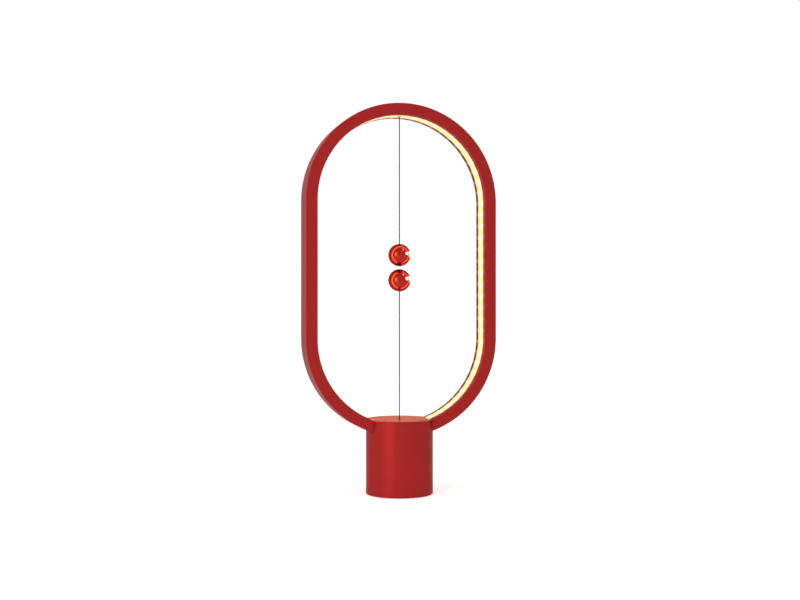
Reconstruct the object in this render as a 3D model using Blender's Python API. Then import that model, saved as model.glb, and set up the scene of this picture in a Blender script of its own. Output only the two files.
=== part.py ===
"""Magnetic balance lamp: a lit hoop on a round base, switched by two magnetic balls on strings.

Metres, +Z up. The origin is at the middle of the base's underside, the hoop lies in the XZ plane and
the front faces -Y. Every piece is a closed solid, and touching pieces keep the small gap named GAP.
"""

import math

import bmesh
import bpy
from mathutils import Matrix, Vector

# Driving sizes of the whole lamp
HOOP_WIDTH = 0.200
HOOP_HEIGHT = 0.340
HOOP_THICKNESS = 0.012
HOOP_DEPTH = 0.0295
HOOP_SINK = 0.017            # the hoop's lowest point lies this far under the base's top
BASE_DIAMETER = 0.069
BASE_HEIGHT = 0.077
BALL_DIAMETER = 0.023
BALL_SPACING = 0.0038        # the gap that the magnets pull across
STRING_DIAMETER = 0.0011

# Fits
GAP = 0.0003                 # between touching pieces
ROOT = 0.001                 # how far a rib or a boss is sunk in the wall it grows from
OVERRUN = 0.002              # how far a cut runs past the face it starts from
WELD = 0.000001              # points closer than this are one point
FLAT_LIMIT = math.radians(32)

# Faces round a turned piece
ROUND_STEPS = 44
HIDDEN_STEPS = 24
BALL_STEPS = 24
SMALL_STEPS = 10
HOOP_ARC_STEPS = 26          # in each half circle of the hoop
CORNER_STEPS = 2

# Hoop shells
HOOP_WALL = 0.0022
LIP_WIDTH = 0.0064
LIP_THICKNESS = 0.0018
HOOP_EDGE = 0.0007
LAP_LENGTH = 0.0012
LAP_STEP = 0.00095
WIRE_HOLE_RADIUS = 0.0028
WIRE_HOLE_X = 0.0105
WIRE_HOLE_Y = 0.0088
STRING_HOLE_RADIUS = 0.0018

# Light strip
DIFFUSER_RECESS = 0.0002
DIFFUSER_FLANGE = 0.0014
DIFFUSER_GRIP = 0.0025       # how far the flange reaches behind each lip
TAPE_WIDTH = 0.010
TAPE_THICKNESS = 0.0003
TAPE_TAIL = 0.0025           # the tape runs this much further into the base than the diffuser
LED_LENGTH = 0.0035
LED_WIDTH = 0.0028
LED_HEIGHT = 0.0014
LED_PITCH = 0.0115

# Clamp bar in the hoop's channel
BAR_THICKNESS = 0.0025
BAR_WIDTH = 0.008
BAR_REACH_SHARE = 0.82       # of the half width at which the hoop leaves the base's top
PILLAR_REACH_SHARE = 0.62
BAR_STEPS = 10

# Base housing
BASE_WALL = 0.0024
FLOOR_THICKNESS = 0.0024
RIM_EDGE = 0.0008
LEDGE_WIDTH = 0.0021
LEDGE_HEIGHT = 0.002
PILLAR_RADIUS = 0.0034
GUSSET_THICKNESS = 0.002
GUSSET_WIDTH = 0.010
GUSSET_DROP = 0.014
PILOT_DEPTH = 0.009

# Cap over the hoop's lowest stretch
CAP_THICKNESS = 0.0025
CAP_EDGE = 0.0003
CLIP_WIDTH = 0.008
CLIP_THICKNESS = 0.0015
CLIP_SETBACK = 0.0008
CLIP_HOOK = 0.0012
CLIP_HOOK_HEIGHT = 0.0012

# Underside
FOOT_STAND = 0.0006          # how far the pad stands out of the housing
PAD_THICKNESS = 0.0009
PAD_INSET = 0.0021           # from the housing's inner wall to the pad
COVER_THICKNESS = 0.003
COVER_EDGE = 0.0004
BALLAST_THICKNESS = 0.011
BALLAST_INSET = 0.0036
BALLAST_EDGE = 0.0008
BALLAST_HEADROOM = 0.001
BOSS_RADIUS = 0.0032
BOSS_CLEARANCE = 0.0004
BOSS_COUNT = 3

# Screws
SCREW_RADIUS = 0.0012
SCREW_HEAD_RADIUS = 0.0027
SCREW_HEAD_HEIGHT = 0.0015
HOOP_SCREW_LENGTH = 0.011
COVER_SCREW_LENGTH = 0.0085
COVER_HEAD_HEIGHT = 0.001
SMALL_SCREW_RADIUS = 0.0009
SMALL_HEAD_RADIUS = 0.0018
SMALL_HEAD_HEIGHT = 0.0011
BOARD_SCREW_LENGTH = 0.005

# Control board and power inlet
POST_HEIGHT = 0.004
POST_RADIUS = 0.0024
BOARD_WIDTH_SHARE = 0.5      # of the housing's inner width
POST_INSET = 0.0034          # from the board's sides and front to the middle of a post
BOARD_DEPTH = 0.0188
BOARD_THICKNESS = 0.0016
USB_WIDTH = 0.00894
USB_HEIGHT = 0.00326
USB_DEPTH = 0.0078
USB_WALL = 0.00035
TONGUE_WIDTH = 0.0067
TONGUE_THICKNESS = 0.0007
TONGUE_SETBACK = 0.0006
POCKET_WIDTH = 0.015
POCKET_HEIGHT = 0.010
POCKET_CORNER = 0.002
POCKET_DEPTH = 0.0049
POCKET_WALL = 0.0022
WIRE_SOCKET_SETBACK = 0.0078 # from the board's back edge to the middle of a socket
WIRE_SOCKET_SPACING = 0.0026 # from the power inlet's side to the side of a socket
WIRE_SOCKET_WIDTH = 0.006
WIRE_SOCKET_DEPTH = 0.005
WIRE_SOCKET_HEIGHT = 0.0055
CHIP_SIZE = 0.005
CHIP_HEIGHT = 0.0014
COIL_RADIUS = 0.0026
COIL_HEIGHT = 0.0028
CAPACITOR_LENGTH = 0.002
CAPACITOR_WIDTH = 0.0012
CAPACITOR_HEIGHT = 0.0009

# Snap switch
SWITCH_LENGTH = 0.0198
SWITCH_HEIGHT = 0.0102
SWITCH_WIDTH = 0.0064
SWITCH_WALL = 0.002
SWITCH_PIVOT_INSET = 0.0018
SWITCH_SCREW_SHARES = ((0.26, 0.72), (0.80, 0.36))
TERMINAL_SHARES = (0.16, 0.42, 0.68)
TERMINAL_WIDTH = 0.0024
TERMINAL_THICKNESS = 0.0006
TERMINAL_HEIGHT = 0.0032
EAR_THICKNESS = 0.0009
EAR_LENGTH = 0.0028
EAR_DROP = 0.0013
LEVER_RISE = 0.0085          # the lever's height over the housing's floor
LEVER_ARM = 0.020
LEVER_TIP = 0.0022
LEVER_WIDTH = 0.0036
LEVER_THICKNESS = 0.0006
LEVER_EYE_RADIUS = 0.00115
LEVER_HOLE_RADIUS = 0.001
PIN_RADIUS = 0.00045
PLUNGER_ARM = 0.0061
PLUNGER_RADIUS = 0.0009
PLUNGER_LENGTH = 0.0031
PLUNGER_STAND = 0.0009

# Strings and what holds them
CLAMP_RADIUS = 0.0013
CLAMP_LENGTH = 0.0026
STRING_END = 0.0006          # the string's cut end stands this far out of its clamp
KNOT_RADIUS = 0.0009
KNOT_DROP = 0.0004           # the knot's middle lies this far below the upper eyelet's mouth
BEND_RADIUS = 0.0007
BEND_DEPTH = 0.0012          # the lower string bends this far below the base's top
HOOP_EYELET_RADIUS = 0.0023
HOOP_EYELET_FLANGE_RADIUS = 0.004
HOOP_EYELET_FLANGE = 0.0008
HOOP_EYELET_TOP = 0.0016
BASE_EYELET_RADIUS = 0.0023
BASE_EYELET_BORE = 0.0015
BASE_EYELET_FLARE = 0.0005
BASE_EYELET_FLANGE_RADIUS = 0.0034
BASE_EYELET_FLANGE = 0.0007
BASE_EYELET_STAND = 0.0001
BASE_EYELET_LENGTH = 0.0025

# Balls
MAGNET_RADIUS = 0.004
MAGNET_HEIGHT = 0.006
MAGNET_EDGE = 0.0003
BALL_WALL = 0.0022
PLUG_LENGTH = 0.005
BALL_ARC_STEPS = 12
PLUG_ARC_STEPS = 3

# Wires inside the base
WIRE_RADIUS = 0.00055
WIRE_SPREAD = 0.0008         # half the distance between the two wires of a pair
CORD_STEP_SHARE = 3.0        # point spacing along a wire or a string, of its diameter

# Worked out from the sizes above
HOOP_RADIUS = HOOP_WIDTH / 2
HOOP_STRAIGHT = HOOP_HEIGHT - HOOP_WIDTH
HOOP_LOW_CENTRE = BASE_HEIGHT - HOOP_SINK + HOOP_RADIUS
HOOP_TOP_CENTRE = HOOP_LOW_CENTRE + HOOP_STRAIGHT
HOOP_INNER_RADIUS = HOOP_RADIUS - HOOP_THICKNESS
HOOP_FRONT = HOOP_DEPTH / 2
CROSSING_X = math.sqrt(HOOP_INNER_RADIUS**2 - (HOOP_INNER_RADIUS - HOOP_SINK + HOOP_THICKNESS) ** 2)
PILLAR_X = CROSSING_X * PILLAR_REACH_SHARE
BASE_RADIUS = BASE_DIAMETER / 2
BASE_INNER_RADIUS = BASE_RADIUS - BASE_WALL
PAD_RADIUS = BASE_INNER_RADIUS - PAD_INSET
BALLAST_RADIUS = BASE_INNER_RADIUS - BALLAST_INSET
BOSS_CIRCLE_RADIUS = BALLAST_RADIUS - BALLAST_EDGE - BOSS_CLEARANCE - BOSS_RADIUS
BOARD_WIDTH = 2 * BASE_INNER_RADIUS * BOARD_WIDTH_SHARE
CAP_UNDER = BASE_HEIGHT - CAP_THICKNESS
LEDGE_TOP = CAP_UNDER - GAP
LEDGE_UNDER = LEDGE_TOP - LEDGE_HEIGHT
LEDGE_RADIUS = BASE_INNER_RADIUS - LEDGE_WIDTH
COVER_TOP = FOOT_STAND + COVER_THICKNESS
BALLAST_UNDER = COVER_TOP + GAP
FLOOR_UNDER = BALLAST_UNDER + BALLAST_THICKNESS + BALLAST_HEADROOM
FLOOR_TOP = FLOOR_UNDER + FLOOR_THICKNESS
BOARD_UNDER = FLOOR_TOP + POST_HEIGHT + GAP
BOARD_TOP = BOARD_UNDER + BOARD_THICKNESS
POCKET_FLOOR = BASE_RADIUS - POCKET_DEPTH
POCKET_BACK = POCKET_FLOOR - POCKET_WALL
BOARD_BACK = POCKET_BACK - 2 * GAP
BOARD_FRONT = BOARD_BACK - BOARD_DEPTH
POST_X = BOARD_WIDTH / 2 - POST_INSET
POST_Y = BOARD_FRONT + POST_INSET
WIRE_SOCKET_X = (USB_WIDTH + WIRE_SOCKET_WIDTH) / 2 + WIRE_SOCKET_SPACING
WIRE_SOCKET_Y = BOARD_BACK - WIRE_SOCKET_SETBACK
PORT_HEIGHT = BOARD_TOP + GAP + USB_HEIGHT / 2
LEVER_HEIGHT = FLOOR_TOP + LEVER_RISE
LEVER_TOP = LEVER_HEIGHT + LEVER_THICKNESS / 2
LEVER_UNDER = LEVER_HEIGHT - LEVER_THICKNESS / 2
SWITCH_UNDER = LEVER_TOP + GAP + PLUNGER_STAND
SWITCH_TOP = SWITCH_UNDER + SWITCH_HEIGHT
SWITCH_FRONT = -LEVER_ARM - SWITCH_PIVOT_INSET
STRING_RADIUS = STRING_DIAMETER / 2
BALL_RADIUS = BALL_DIAMETER / 2
STRING_BORE = STRING_RADIUS + GAP
LIGHT_FACE = HOOP_THICKNESS - DIFFUSER_RECESS
LIGHT_BACK = HOOP_THICKNESS - LIP_THICKNESS - GAP - DIFFUSER_FLANGE
MOUTH_HEIGHT = HOOP_TOP_CENTRE + HOOP_RADIUS - LIGHT_FACE
UPPER_PIVOT = MOUTH_HEIGHT - KNOT_DROP
LOWER_PIVOT = BASE_HEIGHT - BEND_DEPTH
BALLS_MIDDLE = (BASE_HEIGHT + HOOP_TOP_CENTRE + HOOP_INNER_RADIUS) / 2
UPPER_BALL_HEIGHT = BALLS_MIDDLE + BALL_SPACING / 2 + BALL_RADIUS
LOWER_BALL_HEIGHT = BALLS_MIDDLE - BALL_SPACING / 2 - BALL_RADIUS
BALL_BORE = MAGNET_RADIUS + GAP
BALL_MOUTH = math.sqrt(BALL_RADIUS**2 - BALL_BORE**2)
PLUG_UNDER = BALL_MOUTH - PLUG_LENGTH
STOP_UNDER = PLUG_UNDER - GAP - CLAMP_LENGTH


# Starting clean

for thing in list(bpy.data.objects):
    bpy.data.objects.remove(thing, do_unlink=True)


# Finishes


def paint(name, colour, roughness, metallic=0.0):
    """Make a material from a linear colour, a roughness and a metallic value."""
    material = bpy.data.materials.new(name)
    material.use_nodes = True
    shader = material.node_tree.nodes["Principled BSDF"]
    shader.inputs["Base Color"].default_value = (*colour, 1.0)
    shader.inputs["Roughness"].default_value = roughness
    shader.inputs["Metallic"].default_value = metallic
    material.diffuse_color = (*colour, 1.0)
    return material


satin_red = paint("satin_red_shell", (0.34, 0.024, 0.026), 0.38)
gloss_red = paint("gloss_red_ball", (0.36, 0.008, 0.02), 0.12, 0.6)
milky_light = paint("milky_light_strip", (0.95, 0.85, 0.62), 0.45)
dark_pad = paint("dark_foot_pad", (0.03, 0.028, 0.028), 0.85)
dark_red_plastic = paint("dark_red_cover", (0.12, 0.012, 0.014), 0.5)
cast_iron = paint("cast_iron_ballast", (0.18, 0.17, 0.17), 0.6, 0.9)
screw_steel = paint("screw_steel", (0.55, 0.55, 0.56), 0.3, 1.0)
board_green = paint("board_green", (0.02, 0.14, 0.06), 0.5)
component_black = paint("component_black", (0.025, 0.025, 0.027), 0.45)
capacitor_tan = paint("capacitor_tan", (0.45, 0.33, 0.2), 0.4)
socket_white = paint("socket_white", (0.8, 0.79, 0.74), 0.5)
socket_steel = paint("socket_steel", (0.62, 0.62, 0.63), 0.25, 1.0)
switch_black = paint("switch_black", (0.03, 0.03, 0.035), 0.55)
spring_steel = paint("spring_steel", (0.6, 0.59, 0.57), 0.28, 1.0)
plunger_red = paint("plunger_red", (0.5, 0.05, 0.03), 0.5)
tape_white = paint("tape_white", (0.85, 0.84, 0.8), 0.55)
brass = paint("brass_sleeve", (0.62, 0.44, 0.18), 0.3, 1.0)
string_maroon = paint("string_maroon", (0.09, 0.022, 0.026), 0.8)
magnet_nickel = paint("magnet_nickel", (0.68, 0.66, 0.62), 0.18, 1.0)
wire_red = paint("wire_red", (0.5, 0.03, 0.02), 0.45)
wire_black = paint("wire_black", (0.02, 0.02, 0.02), 0.45)


# Shaping helpers


def solid(name, shape, material):
    """Turn a finished bmesh into a named object at the origin."""
    bmesh.ops.remove_doubles(shape, verts=shape.verts, dist=WELD)
    bmesh.ops.recalc_face_normals(shape, faces=shape.faces)
    mesh = bpy.data.meshes.new(name)
    shape.to_mesh(mesh)
    shape.free()
    mesh.materials.append(material)
    piece = bpy.data.objects.new(name, mesh)
    bpy.context.collection.objects.link(piece)
    smooth(piece)
    return piece


def smooth(piece):
    """Shade the round faces smooth and keep the real edges sharp."""
    piece.data.shade_smooth()
    piece.data.set_sharp_from_angle(angle=FLAT_LIMIT)


def combine(piece, shape, operation):
    """Cut the shape from the piece (DIFFERENCE) or grow it onto the piece (UNION)."""
    bmesh.ops.remove_doubles(shape, verts=shape.verts, dist=WELD)
    bmesh.ops.recalc_face_normals(shape, faces=shape.faces)
    tool_mesh = bpy.data.meshes.new("tool")
    shape.to_mesh(tool_mesh)
    shape.free()
    tool = bpy.data.objects.new("tool", tool_mesh)
    tool.hide_render = True
    tool.display_type = "WIRE"
    bpy.context.collection.objects.link(tool)
    step = piece.modifiers.new(operation.title(), "BOOLEAN")
    step.operation = operation
    step.solver = "EXACT"
    step.object = tool
    graph = bpy.context.evaluated_depsgraph_get()
    result = bpy.data.meshes.new_from_object(piece.evaluated_get(graph), depsgraph=graph)
    piece.modifiers.remove(step)
    old = piece.data
    piece.data = result
    bpy.data.objects.remove(tool)
    bpy.data.meshes.remove(tool_mesh)
    bpy.data.meshes.remove(old)
    smooth(piece)


def turn(shape, profile, steps=ROUND_STEPS, place=None, ring=False):
    """Add a body turned about Z from (radius, height) points: axis to axis, or a closed loop for a ring."""
    place = place or Matrix.Identity(4)
    points = [shape.verts.new(place @ Vector((radius, 0, height))) for radius, height in profile]
    edges = [shape.edges.new(pair) for pair in zip(points, points[1:])]
    if ring:
        edges.append(shape.edges.new((points[-1], points[0])))
    bmesh.ops.spin(
        shape,
        geom=points + edges,
        cent=place.translation,
        axis=place.to_3x3() @ Vector((0, 0, 1)),
        angle=math.tau,
        steps=steps,
    )
    bmesh.ops.remove_doubles(shape, verts=shape.verts, dist=WELD)


def rod(shape, start, end, radius, steps=SMALL_STEPS):
    """Add a round bar between two points."""
    start, end = Vector(start), Vector(end)
    run = end - start
    place = Matrix.Translation((start + end) / 2) @ run.to_track_quat("Z", "Y").to_matrix().to_4x4()
    bmesh.ops.create_cone(
        shape,
        cap_ends=True,
        segments=steps,
        radius1=radius,
        radius2=radius,
        depth=run.length,
        matrix=place,
    )


def prism(shape, outline, run):
    """Add the face through the outline's points, pulled along run."""
    face = shape.faces.new([shape.verts.new(point) for point in outline])
    made = bmesh.ops.extrude_face_region(shape, geom=[face])
    moved = [item for item in made["geom"] if isinstance(item, bmesh.types.BMVert)]
    bmesh.ops.translate(shape, verts=moved, vec=run)


def box(shape, low, high):
    """Add a block from its lowest corner to its highest one."""
    outline = [
        (low[0], low[1], low[2]),
        (high[0], low[1], low[2]),
        (high[0], high[1], low[2]),
        (low[0], high[1], low[2]),
    ]
    prism(shape, outline, (0, 0, high[2] - low[2]))


def arc(centre, radius, start, end, steps):
    """List the points of an arc in a plane, from one angle in degrees to another."""
    points = []
    for step in range(steps + 1):
        angle = math.radians(start + (end - start) * step / steps)
        points.append((centre[0] + radius * math.cos(angle), centre[1] + radius * math.sin(angle)))
    return points


def rounded_rectangle(width, height, corner):
    """List the corners of a rounded rectangle round the origin of a plane."""
    points = []
    for side_x, side_y, start in ((1, 1, 0), (-1, 1, 90), (-1, -1, 180), (1, -1, 270)):
        centre = (side_x * (width / 2 - corner), side_y * (height / 2 - corner))
        points += arc(centre, corner, start, start + 90, CORNER_STEPS)
    return points


def screw_profile(radius, length, head_radius, head_height):
    """Give the half outline of a pan-head screw whose head rests on height zero."""
    return [
        (0, -length),
        (radius / 2, -length),
        (radius, radius - length),
        (radius, 0),
        (head_radius, 0),
        (head_radius * 4 / 5, head_height),
        (0, head_height),
    ]


def sleeve_profile(bore, radius, length):
    """Give the loop of a plain sleeve that stands on height zero."""
    return [(bore, 0), (radius, 0), (radius, length), (bore, length)]


def smooth_route(route, spacing):
    """Read evenly spaced points off a smooth curve through the route's points."""
    route = [Vector(point) for point in route]
    padded = [route[0] * 2 - route[1], *route, route[-1] * 2 - route[-2]]
    fine = []
    samples = 24
    for before, start, end, after in zip(padded, padded[1:], padded[2:], padded[3:]):
        for sample in range(samples):
            t = sample / samples
            fine.append(
                0.5 * (
                    2 * start
                    + (end - before) * t
                    + (2 * before - 5 * start + 4 * end - after) * t**2
                    + (3 * start - before - 3 * end + after) * t**3
                )
            )
    fine.append(route[-1])
    lengths = [0.0]
    for start, end in zip(fine, fine[1:]):
        lengths.append(lengths[-1] + (end - start).length)
    count = max(2, round(lengths[-1] / spacing))
    points = []
    index = 0
    for number in range(count + 1):
        wanted = lengths[-1] * number / count
        while index < len(fine) - 2 and lengths[index + 1] < wanted:
            index += 1
        share = (wanted - lengths[index]) / (lengths[index + 1] - lengths[index])
        points.append(fine[index].lerp(fine[index + 1], min(share, 1)))
    return points


def tube(name, route, radius, material):
    """Lay a round string or wire along a smooth curve through the route's points."""
    curve = bpy.data.curves.new(name, "CURVE")
    curve.dimensions = "3D"
    curve.bevel_depth = radius
    curve.bevel_resolution = 2
    curve.use_fill_caps = True
    points = smooth_route(route, CORD_STEP_SHARE * 2 * radius)
    spline = curve.splines.new("POLY")
    spline.points.add(len(points) - 1)
    for knot, point in zip(spline.points, points):
        knot.co = (*point, 1)
    curve.materials.append(material)
    piece = bpy.data.objects.new(name, curve)
    bpy.context.collection.objects.link(piece)
    return piece


def set_out(shape, material, spots, turned=(0, 0, 0)):
    """Place one shape as named objects that share its mesh."""
    mesh = None
    for name, spot in spots:
        if mesh:
            piece = bpy.data.objects.new(name, mesh)
            bpy.context.collection.objects.link(piece)
        else:
            piece = solid(name, shape, material)
            mesh = piece.data
        piece.location = spot
        piece.rotation_euler = turned


def pivot(name, place):
    """Mark a joint's axis with an empty, the parent of what moves there."""
    mark = bpy.data.objects.new(name, None)
    mark.empty_display_size = BALL_RADIUS
    mark.location = place
    bpy.context.collection.objects.link(mark)
    return mark


def hang(piece, mark, offset=(0, 0, 0)):
    """Fasten a piece to a joint's mark, with an offset from the axis."""
    piece.parent = mark
    piece.location = offset


# Places on the hoop


def hoop_height(x, inset):
    """Give the height of the hoop's lower arc at x, measured inset from its outer face."""
    return HOOP_LOW_CENTRE - math.sqrt((HOOP_RADIUS - inset) ** 2 - x**2)


def hoop_place(distance, inset, side):
    """Give the place along the hoop from its top: local X runs along it, local Z points inwards."""
    radius = HOOP_RADIUS - inset
    quarter = radius * math.pi / 2
    if distance <= quarter:
        angle = distance / radius
        spot = Vector((radius * math.sin(angle), 0, HOOP_TOP_CENTRE + radius * math.cos(angle)))
        inward = Vector((-math.sin(angle), 0, -math.cos(angle)))
    elif distance <= quarter + HOOP_STRAIGHT:
        spot = Vector((radius, 0, HOOP_TOP_CENTRE - (distance - quarter)))
        inward = Vector((-1, 0, 0))
    else:
        angle = (distance - quarter - HOOP_STRAIGHT) / radius
        spot = Vector((radius * math.cos(angle), 0, HOOP_LOW_CENTRE - radius * math.sin(angle)))
        inward = Vector((-math.cos(angle), 0, math.sin(angle)))
    spot.x *= side
    inward.x *= side
    across = Vector((0, 1, 0))
    along = across.cross(inward)
    turned = Matrix((along, across, inward)).transposed().to_4x4()
    return Matrix.Translation(spot) @ turned


def far_side(made):
    """Pick the points and the edges at the far end of what an extrusion made."""
    points = [item for item in made["geom"] if isinstance(item, bmesh.types.BMVert)]
    ends = set(points)
    edges = [
        item
        for item in made["geom"]
        if isinstance(item, bmesh.types.BMEdge) and ends.issuperset(item.verts)
    ]
    return points, edges


def sweep_hoop(shape, section, start):
    """Sweep a section of (inset, depth) points up one side, over the top and down to the mirrored place.

    The start is an angle in radians from the hoop's lowest point. A start of zero closes the ring.
    """
    points = []
    for inset, depth in section:
        radius = HOOP_RADIUS - inset
        spot = (radius * math.sin(start), depth, HOOP_LOW_CENTRE - radius * math.cos(start))
        points.append(shape.verts.new(spot))
    edges = [shape.edges.new(pair) for pair in zip(points, points[1:] + points[:1])]
    first = list(edges)
    quarter = math.pi / 2 - start
    quarter_steps = max(2, round(HOOP_ARC_STEPS * quarter / math.pi))
    for centre, angle, steps, lift in (
        (HOOP_LOW_CENTRE, quarter, quarter_steps, HOOP_STRAIGHT),
        (HOOP_TOP_CENTRE, math.pi, HOOP_ARC_STEPS, -HOOP_STRAIGHT),
        (HOOP_LOW_CENTRE, quarter, quarter_steps, 0),
    ):
        made = bmesh.ops.spin(
            shape, geom=points + edges, cent=(0, 0, centre), axis=(0, -1, 0), angle=angle, steps=steps
        )
        points = [item for item in made["geom_last"] if isinstance(item, bmesh.types.BMVert)]
        edges = [item for item in made["geom_last"] if isinstance(item, bmesh.types.BMEdge)]
        if lift:
            points, edges = far_side(bmesh.ops.extrude_edge_only(shape, edges=edges))
            bmesh.ops.translate(shape, verts=points, vec=(0, 0, lift))
    if start:
        bmesh.ops.edgeloop_fill(shape, edges=first)
        bmesh.ops.edgeloop_fill(shape, edges=edges)


def hoop_outline(offset):
    """List the (x, z) corners of the hoop's outer face, pushed out by the offset."""
    radius = HOOP_RADIUS + offset
    top = arc((0, HOOP_TOP_CENTRE), radius, 0, 180, HOOP_ARC_STEPS)
    low = arc((0, HOOP_LOW_CENTRE), radius, 180, 360, HOOP_ARC_STEPS)
    return top + low


# Hoop shells


def shell_section(side, tongue):
    """Give the C section of one half of the hoop: side is -1 at the front and 1 at the rear."""
    front = side * HOOP_FRONT
    seam = side * GAP / 2
    # The tongue's half of the wall crosses the seam, and the other half is held back for it.
    if tongue:
        lap = [(0, seam), (LAP_STEP + GAP, seam), (LAP_STEP + GAP, -side * LAP_LENGTH)]
        lap.append((HOOP_WALL, -side * LAP_LENGTH))
    else:
        lap = [(0, seam), (LAP_STEP, seam), (LAP_STEP, side * (LAP_LENGTH + GAP))]
        lap.append((HOOP_WALL, side * (LAP_LENGTH + GAP)))
    inside = front - side * HOOP_WALL
    lip = front - side * LIP_WIDTH
    return lap + [
        (HOOP_WALL, inside),
        (HOOP_THICKNESS - LIP_THICKNESS, inside),
        (HOOP_THICKNESS - LIP_THICKNESS, lip),
        (HOOP_THICKNESS, lip),
        (HOOP_THICKNESS, front - side * HOOP_EDGE),
        (HOOP_THICKNESS - HOOP_EDGE, front),
        (HOOP_EDGE, front),
        (0, front - side * HOOP_EDGE),
    ]


def hoop_shell(name, side, tongue):
    """Build one half of the hoop, planed flat under the cap and pierced for the string and the screws."""
    shape = bmesh.new()
    sweep_hoop(shape, shell_section(side, tongue), 0)
    shell = solid(name, shape, satin_red)
    planed = bmesh.new()
    half = CROSSING_X - GAP
    deep = HOOP_FRONT + OVERRUN
    box(planed, (-half, -deep, LEDGE_TOP), (half, deep, BASE_HEIGHT + OVERRUN))
    combine(shell, planed, "DIFFERENCE")
    holes = bmesh.new()
    low = HOOP_LOW_CENTRE - HOOP_RADIUS - OVERRUN
    high = HOOP_LOW_CENTRE - HOOP_RADIUS + HOOP_WALL + PILLAR_RADIUS
    rod(holes, (0, 0, low), (0, 0, high), STRING_HOLE_RADIUS)
    for x in (-PILLAR_X, PILLAR_X):
        rod(holes, (x, 0, low), (x, 0, high), SCREW_RADIUS + GAP)
    if side > 0:
        rod(holes, (WIRE_HOLE_X, WIRE_HOLE_Y, low), (WIRE_HOLE_X, WIRE_HOLE_Y, high), WIRE_HOLE_RADIUS)
    combine(shell, holes, "DIFFERENCE")
    return shell


hoop_shell("hoop_front_shell", -1, tongue=True)
hoop_shell("hoop_rear_shell", 1, tongue=False)


# Light strip: milky diffuser, tape and light chips

LIGHT_START = math.asin(CROSSING_X / HOOP_INNER_RADIUS)
TAPE_START = LIGHT_START - TAPE_TAIL / HOOP_RADIUS
TAPE_INSET = HOOP_WALL + GAP

visible = HOOP_FRONT - LIP_WIDTH - GAP
hidden = visible + DIFFUSER_GRIP
flange_face = LIGHT_BACK + DIFFUSER_FLANGE
strip_shape = bmesh.new()
sweep_hoop(
    strip_shape,
    [
        (LIGHT_FACE, -visible),
        (LIGHT_FACE, visible),
        (flange_face, visible),
        (flange_face, hidden),
        (LIGHT_BACK, hidden),
        (LIGHT_BACK, -hidden),
        (flange_face, -hidden),
        (flange_face, -visible),
    ],
    LIGHT_START,
)
diffuser = solid("diffuser_strip", strip_shape, milky_light)
eyelet_hole = bmesh.new()
rod(
    eyelet_hole,
    (0, 0, MOUTH_HEIGHT - OVERRUN),
    (0, 0, MOUTH_HEIGHT + LIGHT_FACE - LIGHT_BACK + OVERRUN),
    HOOP_EYELET_RADIUS + GAP,
    BALL_STEPS,
)
combine(diffuser, eyelet_hole, "DIFFERENCE")

tape_shape = bmesh.new()
sweep_hoop(
    tape_shape,
    [
        (TAPE_INSET, -TAPE_WIDTH / 2),
        (TAPE_INSET, TAPE_WIDTH / 2),
        (TAPE_INSET + TAPE_THICKNESS, TAPE_WIDTH / 2),
        (TAPE_INSET + TAPE_THICKNESS, -TAPE_WIDTH / 2),
    ],
    TAPE_START,
)
tape = solid("led_tape", tape_shape, tape_white)

# The light chips are soldered on, so they are one body with the tape.
led_root = TAPE_INSET + TAPE_THICKNESS / 2
led_shape = bmesh.new()
led_line = HOOP_RADIUS - led_root
led_end = led_line * math.pi / 2 + HOOP_STRAIGHT + led_line * (math.pi / 2 - LIGHT_START) - LED_LENGTH
led_count = int(led_end / LED_PITCH - 0.5) + 1
for number in range(led_count):
    for led_side in (-1, 1):
        place = hoop_place((number + 0.5) * LED_PITCH, led_root, led_side)
        outline = [
            place @ Vector((along * LED_LENGTH / 2, across * LED_WIDTH / 2, 0))
            for along, across in ((-1, -1), (1, -1), (1, 1), (-1, 1))
        ]
        prism(led_shape, outline, place.to_3x3() @ Vector((0, 0, LED_HEIGHT)))
combine(tape, led_shape, "UNION")


# Clamp bar that holds both halves of the hoop down in the base

bar_shape = bmesh.new()
bar_low = HOOP_WALL + GAP
bar_top = bar_low + BAR_THICKNESS
bar_angle = math.asin(CROSSING_X * BAR_REACH_SHARE / HOOP_RADIUS)
bar_points = []
for inset, depth in (
    (bar_low, -BAR_WIDTH / 2),
    (bar_low, BAR_WIDTH / 2),
    (bar_top, BAR_WIDTH / 2),
    (bar_top, -BAR_WIDTH / 2),
):
    reach = HOOP_RADIUS - inset
    spot = (-reach * math.sin(bar_angle), depth, HOOP_LOW_CENTRE - reach * math.cos(bar_angle))
    bar_points.append(bar_shape.verts.new(spot))
bar_end = bar_shape.faces.new(bar_points)
bmesh.ops.spin(
    bar_shape,
    geom=[bar_end],
    cent=(0, 0, HOOP_LOW_CENTRE),
    axis=(0, -1, 0),
    angle=2 * bar_angle,
    steps=BAR_STEPS,
)
clamp_bar = solid("hoop_clamp_bar", bar_shape, spring_steel)
bar_cuts = bmesh.new()
bar_floor = HOOP_LOW_CENTRE - HOOP_RADIUS
rod(bar_cuts, (0, 0, bar_floor), (0, 0, BASE_HEIGHT), STRING_HOLE_RADIUS)
spot_height = hoop_height(PILLAR_X - SCREW_HEAD_RADIUS, bar_top)
for x in (-PILLAR_X, PILLAR_X):
    rod(bar_cuts, (x, 0, bar_floor), (x, 0, spot_height + ROOT / 2), SCREW_RADIUS + GAP)
combine(clamp_bar, bar_cuts, "DIFFERENCE")
bar_cuts = bmesh.new()
for x in (-PILLAR_X, PILLAR_X):
    rod(bar_cuts, (x, 0, spot_height), (x, 0, BASE_HEIGHT), SCREW_HEAD_RADIUS + GAP)
combine(clamp_bar, bar_cuts, "DIFFERENCE")

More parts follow.
